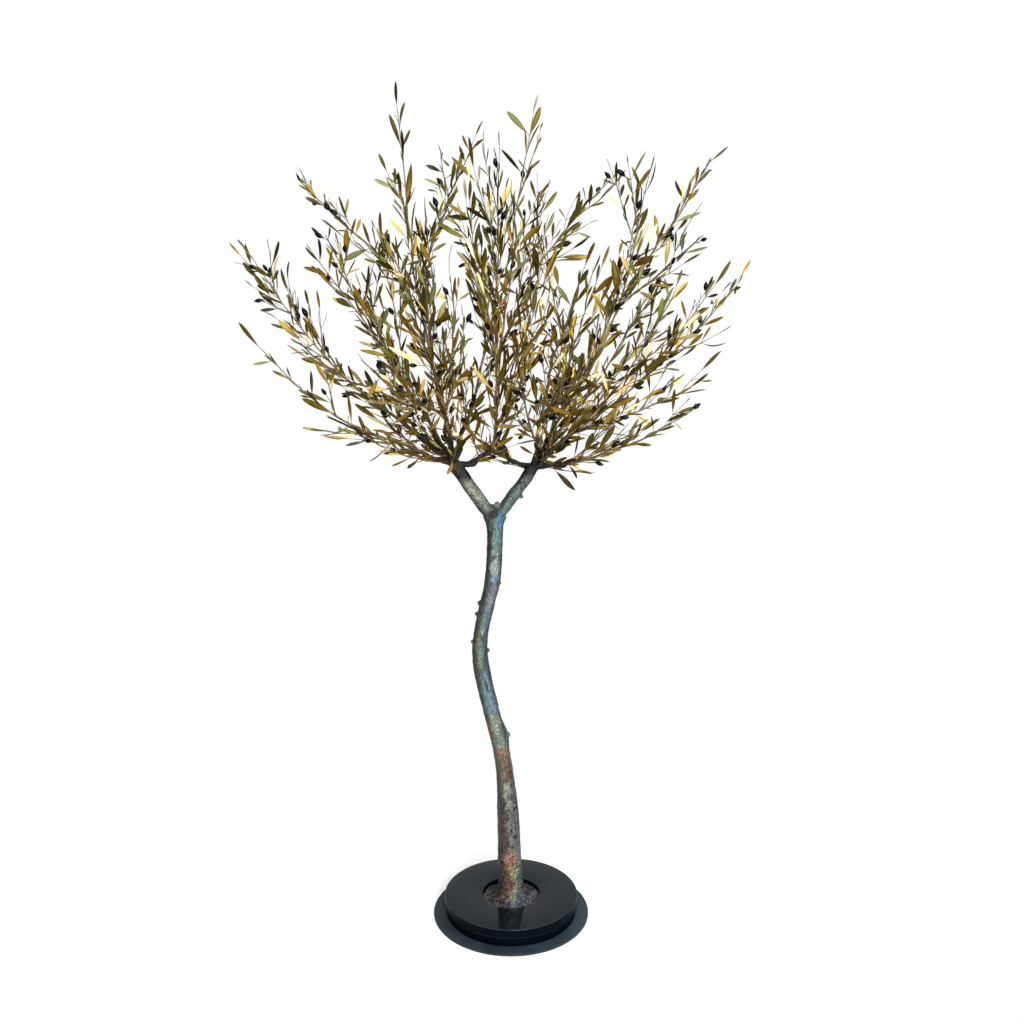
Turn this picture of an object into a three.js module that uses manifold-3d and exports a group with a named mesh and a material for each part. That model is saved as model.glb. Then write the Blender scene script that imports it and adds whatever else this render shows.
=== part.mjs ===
/**
 * Artificial olive tree of patinated metal on a round two-step stand.
 *
 * Millimetres, +Z up, the front of the tree towards -Y. The origin is the centre of the
 * stand's flat underside. The tree is a slim trunk with a double bend, a fork with two
 * boughs, a fan of limbs from the end of each bough, and one uneven closed mass for the
 * leaves of each branch.
 */
import * as THREE from 'three';
import { mergeVertices } from 'three/addons/utils/BufferGeometryUtils.js';
import Module from 'manifold-3d';

const wasm = await Module();
wasm.setup();
const { Manifold, Mesh } = wasm;

// ---------------------------------------------------------------- driving dimensions

// Gap left where one piece is cut by, or rests against, another.
const GAP = 0.4;

const STAND = {
  flangeRadius: 171,
  flangeThickness: 5,
  drumRadius: 143,
  drumHeight: 21,
  topRadius: 146.6,
  topThickness: 20,
  holeRadius: 63,
  chamfer: 0.8,
  sides: 52,
};
const FOOT = STAND.flangeThickness + STAND.drumHeight;

// Crumpled ground in the stand's hole: its rim and middle above the foot, and its folds.
const GROUND = { clearance: 0.3, rim: 11, round: 3, swell: 18, crumple: 1.6, sides: 26 };
const GROUND_SHARES = [0.82, 0.7, 0.6, 0.5];
const GROUND_FOLDS = [
  { count: 7, spread: 0.3 },
  { count: 11, spread: -0.45 },
];

// Trunk stations: height, centre across, centre in depth, half width across.
const TRUNK_STATIONS = [
  [FOOT, 0, 0, 41],
  [36, 0, 0, 36],
  [50, -1, 0, 30.5],
  [75, -1, 1, 27],
  [120, -3, 2, 25.5],
  [180, -4.5, 3, 24.3],
  [240, -7, 2, 23.6],
  [290, -10, 0, 20.8],
  [340, -14, -3, 18.6],
  [390, -21, -6, 18.2],
  [425, -28, -7, 18.8],
  [460, -37, -6, 18],
  [515, -50, -2, 17.8],
  [560, -60, 3, 17.2],
  [600, -65.5, 6, 16.6],
  [640, -64.5, 7, 15.8],
  [680, -57.5, 6, 15.8],
  [715, -50, 4, 16.2],
  [745, -42.5, 2, 15.7],
  [780, -37, 1, 16.5],
  [830, -34, 0, 16.4],
  [872, -33, 0, 16.6],
  [890, -33, 0, 19],
  [904, -33, 0, 25],
  [917, -32, 0, 31],
  [926, -32, 0, 25],
];
const TRUNK_SIDES = 14;
// The head below the fork widens across the tree only.
const HEAD = { from: 880, depth: 17 };
const ROOT_LOBES = { count: 5, height: 62, swell: 0.16, turn: 0.7 };

// Cut stubs and knots on the trunk: height, bearing in degrees, radius, length proud.
const KNOTS = [
  [424, 5, 6, 5],
  [610, 15, 5, 4],
  [631, 190, 5, 4],
  [692, 178, 5, 5],
  [716, 172, 6, 4],
];
const KNOT_SHAPE = { lift: 0.35, drop: 4, taper: 0.7, sides: 7 };
const CROTCH_STUB = { at: [-26, -6, 920], tip: [-23, -11, 936], radius: 6.5 };

// Bough stations: across, depth, height, radius.
const BOUGHS = {
  left: [
    [-44, 0, 900, 13],
    [-60, 0, 932, 13.5],
    [-76, 0, 955, 12.6],
    [-90, 0, 976, 12],
    [-105, 0, 997, 13],
    [-115, 0, 1012, 16],
  ],
  right: [
    [-22, 0, 900, 12.5],
    [-7, 0, 932, 12.8],
    [8, 0, 953, 11.5],
    [20, 0, 970, 11],
    [34, 0, 990, 12],
    [42, 0, 1006, 15],
  ],
};
const BOUGH_SIDES = 10;
const BOUGH_RINGS = 7;

// Limbs leave the end of a bough bare for this length, then enter their mass.
const LIMB_LENGTH = 100;
const LIMB_SIDES = 7;
const LIMB_RINGS = 4;
const LIMB_RADIUS = { foot: 9, end: 5 };

const MASS_SIDES = 7;
const MASS_RINGS = 7;
// A mass is narrow at its base, full past the third and pointed at the tip, with ripples
// along it and lobes round it that differ from branch to branch.
const MASS_SHAPE = { base: 0.36, fullness: 0.72, roundness: 0.8, taper: 5, tip: 0.1, least: 2.5 };
const MASS_RIPPLE = { depth: 0.15, turns: 19, shift: 2.4 };
const MASS_LOBES = { depth: 0.12, count: 3, twist: 7 };
// The least radius of a mass where it sits on its limb.
const SEAT_RADIUS = 11;
const STRETCH_STEPS = 8;

/**
 * The branches. `bearing` is measured from +X towards +Y and `rise` above level, both in
 * degrees, from the foot of the branch to its furthest leaf; `reach` is the length of that
 * line and `girth` the greatest radius of the leaves round it. `bow` moves the middle of
 * the branch off the line, and `elbow` is the first bend after the foot. A branch with
 * `fork` grows on a limb from a bough; one with `on` springs from another branch, at the
 * share `from` of its length.
 */
const BRANCHES = [
  { name: 'left_reach', fork: 'left', bearing: 170, rise: 46, reach: 645, girth: 44, bow: [-30, 0, -30] },
  { name: 'left_low', fork: 'left', bearing: 188, rise: 34, reach: 492, girth: 40, bow: [-20, 0, -40] },
  { name: 'left_front', fork: 'left', bearing: 208, rise: 56, reach: 562, girth: 42, bow: [8, 0, 8] },
  { name: 'left_tall', fork: 'left', bearing: 213, rise: 81, reach: 744, girth: 42, bow: [-20, 0, 0] },
  { name: 'centre', fork: 'left', bearing: 53, rise: 77, reach: 670, girth: 46, bow: [36, 0, -4] },
  { name: 'centre_low', fork: 'left', bearing: 288, rise: 74, reach: 470, girth: 40, bow: [30, -8, 0],
    elbow: [66, -14, 24] },
  { name: 'left_back', fork: 'left', bearing: 128, rise: 41, reach: 560, girth: 46, bow: [0, 10, -20] },
  { name: 'front_left', fork: 'left', bearing: 266, rise: 48, reach: 600, girth: 44, bow: [-8, 0, -14] },
  { name: 'right_tall', fork: 'right', bearing: 284, rise: 87, reach: 727, girth: 42, bow: [-26, 0, 0],
    elbow: [-58, 16, 30] },
  { name: 'front_right', fork: 'right', bearing: 288, rise: 55, reach: 540, girth: 44, bow: [-14, 0, 0] },
  { name: 'right_mid', fork: 'right', bearing: 331, rise: 68, reach: 664, girth: 44, bow: [44, 0, -16] },
  { name: 'right_reach', fork: 'right', bearing: 351, rise: 47, reach: 553, girth: 42, bow: [24, 0, -22] },
  { name: 'right_lowest', fork: 'right', bearing: 338, rise: 24, reach: 402, girth: 36, bow: [12, 0, -26] },
  { name: 'right_back', fork: 'right', bearing: 48, rise: 41, reach: 560, girth: 46, bow: [8, 8, -18] },
  { name: 'right_front', fork: 'right', bearing: 305, rise: 42, reach: 560, girth: 44, bow: [22, 0, -14] },
  { name: 'left_high', on: 'left_tall', from: 0.5, bearing: 142, rise: 32, reach: 404, girth: 38,
    bow: [0, 0, -10] },
  { name: 'front_left_high', on: 'left_tall', from: 0.26, bearing: 262, rise: 47, reach: 355, girth: 40,
    bow: [-8, -14, -10] },
  { name: 'back_left_high', on: 'left_tall', from: 0.52, bearing: 84, rise: 46, reach: 366, girth: 40,
    bow: [46, 0, 0] },
  { name: 'back_high', on: 'centre', from: 0.55, bearing: 120, rise: 36, reach: 387, girth: 40,
    bow: [10, 10, -16] },
  { name: 'left_back_high', on: 'left_back', from: 0.32, bearing: 152, rise: 58, reach: 450, girth: 40,
    bow: [0, 0, -6] },
  { name: 'back_low', on: 'left_back', from: 0.28, bearing: 80, rise: 28, reach: 400, girth: 44,
    bow: [0, 10, -20] },
  { name: 'left_front_low', on: 'left_front', from: 0.28, bearing: 236, rise: 24, reach: 380, girth: 40,
    bow: [-6, 0, -20] },
  { name: 'front_low', on: 'front_left', from: 0.3, bearing: 250, rise: 22, reach: 350, girth: 40,
    bow: [0, -8, -18] },
  { name: 'right_high', on: 'right_tall', from: 0.38, bearing: 38, rise: 46, reach: 480, girth: 42,
    bow: [-24, 0, 16] },
  { name: 'right_back_high', on: 'right_mid', from: 0.3, bearing: 68, rise: 46, reach: 500, girth: 42,
    bow: [16, 0, -10] },
  { name: 'right_top', on: 'right_mid', from: 0.6, bearing: 34, rise: 50, reach: 362, girth: 38,
    bow: [6, 0, -8] },
  { name: 'right_far', on: 'right_mid', from: 0.58, bearing: 318, rise: 34, reach: 236, girth: 34,
    bow: [0, 0, -8] },
  { name: 'right_tip', on: 'right_reach', from: 0.55, bearing: 41, rise: 31, reach: 335, girth: 40,
    bow: [0, 0, -12] },
  { name: 'right_low', on: 'right_reach', from: 0.26, bearing: 18, rise: 20, reach: 300, girth: 38,
    bow: [0, 0, -20] },
  { name: 'back_right_low', on: 'right_back', from: 0.28, bearing: 96, rise: 28, reach: 400, girth: 44,
    bow: [0, 8, -20] },
  { name: 'back_right_high', on: 'right_back', from: 0.3, bearing: 106, rise: 56, reach: 480, girth: 42,
    bow: [0, 12, 0] },
  { name: 'front_right_low', on: 'front_right', from: 0.3, bearing: 276, rise: 20, reach: 350, girth: 40,
    bow: [0, -6, -16] },
];

const LOOKS = {
  stand: { color: 0x2d373e, roughness: 0.35, metalness: 0.6 },
  flange: { color: 0x3c4850, roughness: 0.4, metalness: 0.6 },
  ground: { color: 0x646973, roughness: 0.45, metalness: 0.8 },
  trunk: { color: 0x5a8c82, roughness: 0.5, metalness: 0.7 },
  limb: { color: 0x3a2f24, roughness: 0.6, metalness: 0.6 },
  leaves: { color: 0x6e6428, roughness: 0.4, metalness: 0.7 },
};

// ---------------------------------------------------------------- solids and booleans

/** A three.js geometry as a solid for joining and cutting. */
function toSolid(geometry) {
  const bare = geometry.clone();
  bare.deleteAttribute('normal');
  bare.deleteAttribute('uv');
  const merged = mergeVertices(bare, 1e-4);
  const vertProperties = new Float32Array(merged.attributes.position.array);
  const triVerts = new Uint32Array(merged.index.array);
  return new Manifold(new Mesh({ numProp: 3, vertProperties, triVerts }));
}

/** A solid as a three.js geometry. */
function toGeometry(solid) {
  const mesh = solid.getMesh();
  const geometry = new THREE.BufferGeometry();
  geometry.setAttribute('position', new THREE.BufferAttribute(mesh.vertProperties, 3));
  geometry.setIndex(new THREE.BufferAttribute(mesh.triVerts, 1));
  geometry.computeVertexNormals();
  return geometry;
}

/** The solid less its neighbours, as its one largest body. */
function cutBy(solid, neighbours) {
  let rest = solid;
  for (const neighbour of neighbours) {
    rest = rest.subtract(neighbour);
  }
  const bodies = rest.decompose();
  bodies.sort((one, other) => other.volume() - one.volume());
  return bodies[0];
}

/** A round solid about Z from a profile of [radius, height] pairs that closes on itself or the axis. */
function turned(profile, sides) {
  const points = profile.map(([radius, height]) => new THREE.Vector2(radius, height));
  const geometry = new THREE.LatheGeometry(points, sides);
  geometry.rotateX(Math.PI / 2);
  return geometry;
}

/** Unit vectors across a curve at even shares of its length, carried along without twist. */
function framesAlong(curve, count) {
  const frames = [];
  const side = new THREE.Vector3(0, 1, 0);
  for (let step = 0; step <= count; step += 1) {
    const tangent = curve.getTangentAt(step / count);
    side.addScaledVector(tangent, -side.dot(tangent)).normalize();
    const across = new THREE.Vector3().crossVectors(tangent, side);
    frames.push({ side: side.clone(), across });
  }
  return frames;
}

/**
 * A closed solid round a curve. A turned profile, with `radiusAt` as its radius by share of
 * the length, is bent along the curve, so both ends are flat across it.
 */
function alongCurve(curve, radiusAt, sides, rings) {
  const profile = [new THREE.Vector2(0, 0)];
  for (let ring = 0; ring <= rings; ring += 1) {
    profile.push(new THREE.Vector2(1, ring));
  }
  profile.push(new THREE.Vector2(0, rings));
  const geometry = new THREE.LatheGeometry(profile, sides);
  const frames = framesAlong(curve, rings);
  const position = geometry.attributes.position;
  const point = new THREE.Vector3();
  for (let index = 0; index < position.count; index += 1) {
    const ring = Math.round(position.getY(index));
    const across = position.getX(index);
    const depth = position.getZ(index);
    const share = ring / rings;
    const radius = radiusAt(share, Math.atan2(depth, across));
    curve.getPointAt(share, point);
    point.addScaledVector(frames[ring].across, across * radius);
    point.addScaledVector(frames[ring].side, depth * radius);
    position.setXYZ(index, point.x, point.y, point.z);
  }
  return geometry;
}

/** A value read off a list of [share, value] pairs by straight lines. */
function readOff(pairs, share) {
  const next = pairs.findIndex(([at]) => at >= share);
  if (next <= 0) {
    return pairs[Math.max(next, 0)][1];
  }
  const [lowAt, low] = pairs[next - 1];
  const [highAt, high] = pairs[next];
  return low + ((high - low) * (share - lowAt)) / (highAt - lowAt);
}

// ---------------------------------------------------------------- stand and ground

function standFlange() {
  const { flangeRadius, flangeThickness, sides } = STAND;
  return turned([[0, 0], [flangeRadius, 0], [flangeRadius, flangeThickness], [0, flangeThickness]], sides);
}

function standDrum() {
  const { drumRadius, flangeThickness, sides } = STAND;
  return turned([[0, flangeThickness], [drumRadius, flangeThickness], [drumRadius, FOOT], [0, FOOT]], sides);
}

function standTop() {
  const { topRadius, topThickness, holeRadius, chamfer, sides } = STAND;
  const top = FOOT + topThickness;
  return turned([
    [holeRadius, FOOT],
    [topRadius - chamfer, FOOT],
    [topRadius, FOOT + chamfer],
    [topRadius, top - chamfer],
    [topRadius - chamfer, top],
    [holeRadius, top],
    [holeRadius, FOOT],
  ], sides);
}

/** The crumpled metal round the foot of the trunk, which fills the hole in the stand. */
function rootGround() {
  const { clearance, rim, round, swell, crumple, sides } = GROUND;
  const radius = STAND.holeRadius - clearance;
  const low = FOOT + rim - round;
  const slope = GROUND_SHARES.map((share) => [radius * share, FOOT + rim + (swell - rim) * (1 - share)]);
  const outside = [[0, FOOT], [radius, FOOT], [radius, low], [radius - round, FOOT + rim]];
  const geometry = turned([...outside, ...slope, [0, FOOT + swell]], sides);
  const position = geometry.attributes.position;
  for (let index = 0; index < position.count; index += 1) {
    const [x, y, z] = [position.getX(index), position.getY(index), position.getZ(index)];
    const out = Math.hypot(x, y);
    const bearing = Math.atan2(y, x);
    if (z > low && out > round) {
      const folds = GROUND_FOLDS.map(({ count, spread }) => Math.sin(bearing * count + out * spread));
      position.setZ(index, z + crumple * (folds[0] + folds[1]));
    }
  }
  return toSolid(geometry);
}

// ---------------------------------------------------------------- trunk and boughs

/** The trunk as level rings up its double bend, with the foot cut flat and lobed like roots. */
function trunkSolid(extra) {
  const rings = TRUNK_STATIONS.map((station, ring) => [1, ring]);
  const geometry = turned([[0, 0], ...rings, [0, rings.length - 1]], TRUNK_SIDES);
  const position = geometry.attributes.position;
  for (let index = 0; index < position.count; index += 1) {
    const [height, across, depth, radius] = TRUNK_STATIONS[Math.round(position.getZ(index))];
    const x = position.getX(index);
    const y = position.getY(index);
    const near = Math.max(0, 1 - (height - FOOT) / ROOT_LOBES.height);
    const wave = Math.cos(ROOT_LOBES.count * Math.atan2(y, x) + ROOT_LOBES.turn);
    const half = radius * (1 + ROOT_LOBES.swell * near * wave) + extra;
    const halfDepth = height > HEAD.from ? Math.min(half, HEAD.depth + extra) : half;
    position.setXYZ(index, across + x * half, depth + y * halfDepth, height);
  }
  let solid = toSolid(geometry);
  for (const [height, bearing, radius, proud] of KNOTS) {
    solid = solid.add(trunkKnot(height, bearing, radius + extra, proud + extra));
  }
  const { at, tip, radius } = CROTCH_STUB;
  return solid.add(peg(new THREE.Vector3(...at), new THREE.Vector3(...tip), radius + extra, radius + extra));
}

/** A short round peg between two points, narrowing from one radius to the other. */
function peg(from, to, footRadius, tipRadius) {
  const axis = new THREE.Vector3().subVectors(to, from);
  const geometry = new THREE.CylinderGeometry(tipRadius, footRadius, axis.length(), KNOT_SHAPE.sides, 1);
  geometry.translate(0, axis.length() / 2, 0);
  const turn = new THREE.Quaternion().setFromUnitVectors(new THREE.Vector3(0, 1, 0), axis.normalize());
  geometry.applyQuaternion(turn);
  geometry.translate(from.x, from.y, from.z);
  return toSolid(geometry);
}

/** A knot that stands proud of the trunk's side, rising a little. */
function trunkKnot(height, bearing, radius, proud) {
  const read = (column) => readOff(TRUNK_STATIONS.map((row) => [row[0], row[column]]), height);
  const turn = THREE.MathUtils.degToRad(bearing);
  const outward = new THREE.Vector3(Math.cos(turn), Math.sin(turn), KNOT_SHAPE.lift).normalize();
  const core = new THREE.Vector3(read(1), read(2), height - KNOT_SHAPE.drop);
  const foot = core.clone().addScaledVector(outward, read(3) / 2);
  const tip = core.clone().addScaledVector(outward, read(3) + proud);
  return peg(foot, tip, radius, radius * KNOT_SHAPE.taper);
}

/** One bough round its stations, with `extra` added to its radius. */
function boughSolid(stations, extra) {
  const points = stations.map(([x, y, z]) => new THREE.Vector3(x, y, z));
  const curve = new THREE.CatmullRomCurve3(points);
  const last = stations.length - 1;
  const radii = stations.map((station, place) => [place / last, station[3]]);
  const radiusAt = (share) => readOff(radii, share) + extra;
  return toSolid(alongCurve(curve, radiusAt, BOUGH_SIDES, BOUGH_RINGS));
}

// ---------------------------------------------------------------- limbs and masses

/** The centre line of a branch, from its foot to its furthest leaf. */
function branchCurve(branch, foot) {
  const turn = THREE.MathUtils.degToRad(branch.bearing);
  const rise = THREE.MathUtils.degToRad(branch.rise);
  const level = branch.reach * Math.cos(rise);
  const climb = branch.reach * Math.sin(rise);
  const tip = foot.clone().add(new THREE.Vector3(level * Math.cos(turn), level * Math.sin(turn), climb));
  const start = branch.elbow ? foot.clone().add(new THREE.Vector3(...branch.elbow)) : foot.clone();
  const middle = start.clone().lerp(tip, 0.5).add(new THREE.Vector3(...branch.bow));
  const points = branch.elbow ? [foot.clone(), start, middle, tip] : [foot.clone(), middle, tip];
  return new THREE.CatmullRomCurve3(points, false, 'centripetal');
}

/** The stretch of a curve between two shares of its length. */
function stretchOf(curve, from, to) {
  const points = [];
  for (let step = 0; step <= STRETCH_STEPS; step += 1) {
    points.push(curve.getPointAt(from + ((to - from) * step) / STRETCH_STEPS));
  }
  return new THREE.CatmullRomCurve3(points);
}

/** The radius of a mass of leaves by share of its length and bearing round it. */
function massRadius(branch, order, extra) {
  const { base, fullness, roundness, taper, tip, least } = MASS_SHAPE;
  return (share, bearing) => {
    const swell = base + (1 - base) * Math.sin(Math.PI * share ** fullness) ** roundness;
    const point = tip + (1 - tip) * Math.sqrt(1 - share ** taper);
    const ripple = 1 + MASS_RIPPLE.depth * Math.sin(MASS_RIPPLE.turns * share + MASS_RIPPLE.shift * order);
    const turn = MASS_LOBES.count * bearing + MASS_LOBES.twist * share + order;
    const lobe = 1 + MASS_LOBES.depth * Math.sin(turn);
    const seat = SEAT_RADIUS * (1 - share);
    return Math.max(branch.girth * swell * ripple * lobe * point, seat, least) + extra;
  };
}

/** The limbs and masses by name, each cut by the boughs and by what was made before it. */
function crownSolids(fullerBoughs) {
  const curves = {};
  const solids = {};
  const made = [...fullerBoughs];
  const keep = (name, curve, radiusOf, sides, rings) => {
    solids[name] = cutBy(toSolid(alongCurve(curve, radiusOf(0), sides, rings)), made);
    made.push(toSolid(alongCurve(curve, radiusOf(GAP), sides, rings)));
  };
  const { foot, end } = LIMB_RADIUS;
  const limbRadius = (extra) => (share) => THREE.MathUtils.lerp(foot, end, share) + extra;
  for (const branch of BRANCHES.filter(({ fork }) => fork)) {
    const [x, y, z] = BOUGHS[branch.fork].at(-1);
    const curve = branchCurve(branch, new THREE.Vector3(x, y, z));
    curves[branch.name] = curve;
    const limb = stretchOf(curve, 0, LIMB_LENGTH / curve.getLength());
    keep(`limb_${branch.name}`, limb, limbRadius, LIMB_SIDES, LIMB_RINGS);
  }
  BRANCHES.forEach((branch, order) => {
    if (branch.on) {
      curves[branch.name] = branchCurve(branch, curves[branch.on].getPointAt(branch.from));
    }
    const whole = curves[branch.name];
    const start = branch.fork ? (LIMB_LENGTH + GAP) / whole.getLength() : 0;
    const radiusOf = (extra) => massRadius(branch, order, extra);
    keep(`leaves_${branch.name}`, stretchOf(whole, start, 1), radiusOf, MASS_SIDES, MASS_RINGS);
  });
  return solids;
}

// ---------------------------------------------------------------- the tree

const tree = new THREE.Group();

/** Adds one named sub-part in its own material. */
function addPart(name, geometry, look) {
  const mesh = new THREE.Mesh(geometry, new THREE.MeshStandardMaterial(look));
  mesh.name = name;
  tree.add(mesh);
}

addPart('stand_flange', standFlange(), LOOKS.flange);
addPart('stand_drum', standDrum(), LOOKS.stand);
addPart('stand_top', standTop(), LOOKS.stand);

const fullerTrunk = trunkSolid(GAP);
addPart('root_ground', toGeometry(cutBy(rootGround(), [fullerTrunk])), LOOKS.ground);
addPart('trunk', toGeometry(trunkSolid(0)), LOOKS.trunk);

const fullerBoughs = [boughSolid(BOUGHS.left, GAP), boughSolid(BOUGHS.right, GAP)];
const leftBough = cutBy(boughSolid(BOUGHS.left, 0), [fullerTrunk]);
const rightBough = cutBy(boughSolid(BOUGHS.right, 0), [fullerTrunk, fullerBoughs[0]]);
addPart('bough_left', toGeometry(leftBough), LOOKS.trunk);
addPart('bough_right', toGeometry(rightBough), LOOKS.trunk);

for (const [name, solid] of Object.entries(crownSolids(fullerBoughs))) {
  addPart(name, toGeometry(solid), name.startsWith('limb') ? LOOKS.limb : LOOKS.leaves);
}

export default tree;
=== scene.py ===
"""A gilded olive tree on a black two-step stand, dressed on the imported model.

Everything is in metres, +Z up, with the front of the tree towards -Y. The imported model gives
the places: the trunk's level rings, the lines of the boughs and limbs, and one closed mass for
each branch, whose middle line the branch follows here.
"""

import logging
import math
from collections.abc import Mapping, Sequence
from dataclasses import dataclass, field
from enum import Enum

import bpy
import numpy as np
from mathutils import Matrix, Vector


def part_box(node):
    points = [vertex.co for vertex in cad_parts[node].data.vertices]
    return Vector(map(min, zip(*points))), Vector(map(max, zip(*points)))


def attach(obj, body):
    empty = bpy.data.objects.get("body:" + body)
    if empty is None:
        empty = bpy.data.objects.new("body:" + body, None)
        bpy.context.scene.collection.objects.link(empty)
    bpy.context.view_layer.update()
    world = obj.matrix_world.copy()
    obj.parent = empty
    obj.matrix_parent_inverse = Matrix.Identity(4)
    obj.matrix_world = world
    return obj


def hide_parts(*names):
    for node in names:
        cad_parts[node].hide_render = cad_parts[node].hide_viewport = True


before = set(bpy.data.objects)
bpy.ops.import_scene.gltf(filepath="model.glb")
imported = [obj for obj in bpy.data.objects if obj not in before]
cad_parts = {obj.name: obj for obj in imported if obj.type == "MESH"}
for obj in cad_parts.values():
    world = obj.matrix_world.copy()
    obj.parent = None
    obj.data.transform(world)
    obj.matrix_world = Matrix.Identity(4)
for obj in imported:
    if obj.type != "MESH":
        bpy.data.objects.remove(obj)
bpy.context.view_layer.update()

Array = np.ndarray
Stem = tuple[np.ndarray, np.ndarray]
Pair = tuple[float, float]
Triple = tuple[float, float, float]
Colour = tuple[float, float, float, float]
Sockets = dict[str, object]
LOG = logging.getLogger("olive_tree")
ROOT = "root"
UP = np.array((0.0, 0.0, 1.0))
MM = 0.001


class Slot(Enum):
    """The record's material slots."""

    STAND = "stand"
    FLANGE = "stand_flange"
    GROUND = "root_ground"
    TRUNK = "trunk_bark"
    LIMB = "limb_bark"
    LEAVES = "leaves"


# ---------------- arithmetic


def unit(vectors: Array) -> Array:
    """Divide each vector by its length."""
    return vectors / np.maximum(np.linalg.norm(vectors, axis=-1, keepdims=True), 1e-9)


def sizes(vectors: Array) -> Array:
    """Give each vector's length."""
    return np.linalg.norm(vectors, axis=-1)


def shares(count: int) -> Array:
    """Give numbers spread evenly from 0 to 1."""
    return np.linspace(0.0, 1.0, count)


def ease(x: Array) -> Array:
    """Hold x between 0 and 1 and give 3x squared less 2x cubed."""
    held = np.clip(x, 0.0, 1.0)
    return held * held * (3.0 - 2.0 * held)


def linear(red: float, green: float, blue: float) -> Colour:
    """Turn a display colour of 0 to 255 into the scene's linear colour.

    Args:
        red: Red of the display colour.
        green: Green of the display colour.
        blue: Blue of the display colour.

    Returns:
        The linear colour with an alpha of 1.
    """
    share = np.array((red, green, blue)) / 255.0
    low = share / 12.92
    high = ((share + 0.055) / 1.055) ** 2.4
    r, g, b = np.where(share <= 0.04045, low, high)
    return (float(r), float(g), float(b), 1.0)


def lattice(corner: Array, seed: int) -> Array:
    """Give each whole-number corner a fixed number from 0 to 1.

    The coordinates are multiplied by large odd numbers and added, and the sum is mixed by shifts
    and exclusive-or.

    Args:
        corner: Whole numbers, three to a corner.
        seed: Picks one of many patterns.

    Returns:
        Numbers from 0 to 1, one for each corner.
    """
    x, y, z = (corner[..., k] for k in range(3))
    mixed = (x * 374761393 + y * 668265263 + z * 1440662683 + seed * 974711) & 0xFFFFFFFF
    mixed = ((mixed ^ (mixed >> 13)) * 1274126177) & 0xFFFFFFFF
    return (mixed ^ (mixed >> 16)) / 0xFFFFFFFF


def noise(points: Array, size: float, seed: int) -> Array:
    """Give smooth lumps from -1 to 1 that are about `size` across.

    Each point takes the mean of its lattice cell's eight corners, weighted by the eased distance
    along each direction.

    Args:
        points: Places, of three numbers each.
        size: Width of a lattice cell in metres.
        seed: Picks one of many patterns.

    Returns:
        One number for each place.
    """
    place = points / size
    cell = np.floor(place).astype(np.int64)
    share = ease(place - cell)
    total = np.zeros(points.shape[:-1])
    for step in np.ndindex(2, 2, 2):
        weight = np.prod(np.where(np.array(step) == 1, share, 1.0 - share), axis=-1)
        total += weight * lattice(cell + np.array(step), seed)
    return 2.0 * total - 1.0


def fractal(points: Array, size: float, seed: int) -> Array:
    """Add three layers of noise, each of half the size and half the height of the last.

    Args:
        points: Places, of three numbers each.
        size: Width of the largest lumps in metres.
        seed: Picks one of many patterns.

    Returns:
        One number for each place, from about -1 to 1.
    """
    heights = [0.5**k for k in range(3)]
    layers = [h * noise(points, size * h, seed + 31 * k) for k, h in enumerate(heights)]
    return sum(layers) / sum(heights)


def shifts(points: Array, size: float, seed: int) -> Array:
    """Give three noises at each place, one for each direction, whose seeds follow on."""
    return np.stack([noise(points, size, seed + k) for k in range(3)], -1)


def once_round(count: int) -> Array:
    """Give angles spread evenly once round."""
    return np.linspace(0.0, 2 * np.pi, count, endpoint=False)


def curve_through(points: Array, count: int) -> Array:
    """Run an even curve through the points.

    Each span is the cubic that has, at both of its ends, half the step from the point before to the
    point after. The curve is then cut into equal lengths.

    Args:
        points: The points of the curve, one a row.
        count: How many stations the curve has.

    Returns:
        The stations, one a row.
    """
    ends = np.vstack([2 * points[0] - points[1], points, 2 * points[-1] - points[-2]])
    t = np.linspace(0.0, len(points) - 1.0, 24 * len(points))
    span = np.minimum(t.astype(int), len(points) - 2)
    f = (t - span)[:, None]
    a, b, c, d = (ends[span + k] for k in range(4))
    fine = 0.5 * (
        2 * b + (c - a) * f + (2 * a - 5 * b + 4 * c - d) * f**2 + (3 * b - a - 3 * c + d) * f**3
    )
    run = run_along(fine)
    want = np.linspace(0.0, run[-1], count)
    return np.stack([np.interp(want, run, fine[:, k]) for k in range(3)], axis=1)


def run_along(line: Array) -> Array:
    """Give the length along a line at each of its stations."""
    return np.concatenate([[0.0], np.cumsum(sizes(np.diff(line, axis=0)))])


def frames(lines: Array) -> tuple[Array, Array, Array]:
    """Find three square directions at each station of each line.

    The first is the line's own. The second is one direction across the whole line, made square to
    the first. The third is their cross product.

    Args:
        lines: Stations, as line by station by coordinate.

    Returns:
        Along, side and over, each shaped as the stations are.
    """
    along = unit(np.gradient(lines, axis=-2))
    chord = unit(lines[..., -1, :] - lines[..., 0, :])
    least = np.eye(3)[np.argmin(np.abs(chord), axis=-1)]
    across = unit(np.cross(chord, least))[..., None, :]
    side = unit(across - (across * along).sum(-1, keepdims=True) * along)
    return along, side, np.cross(along, side)


# ---------------- surfaces


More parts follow.
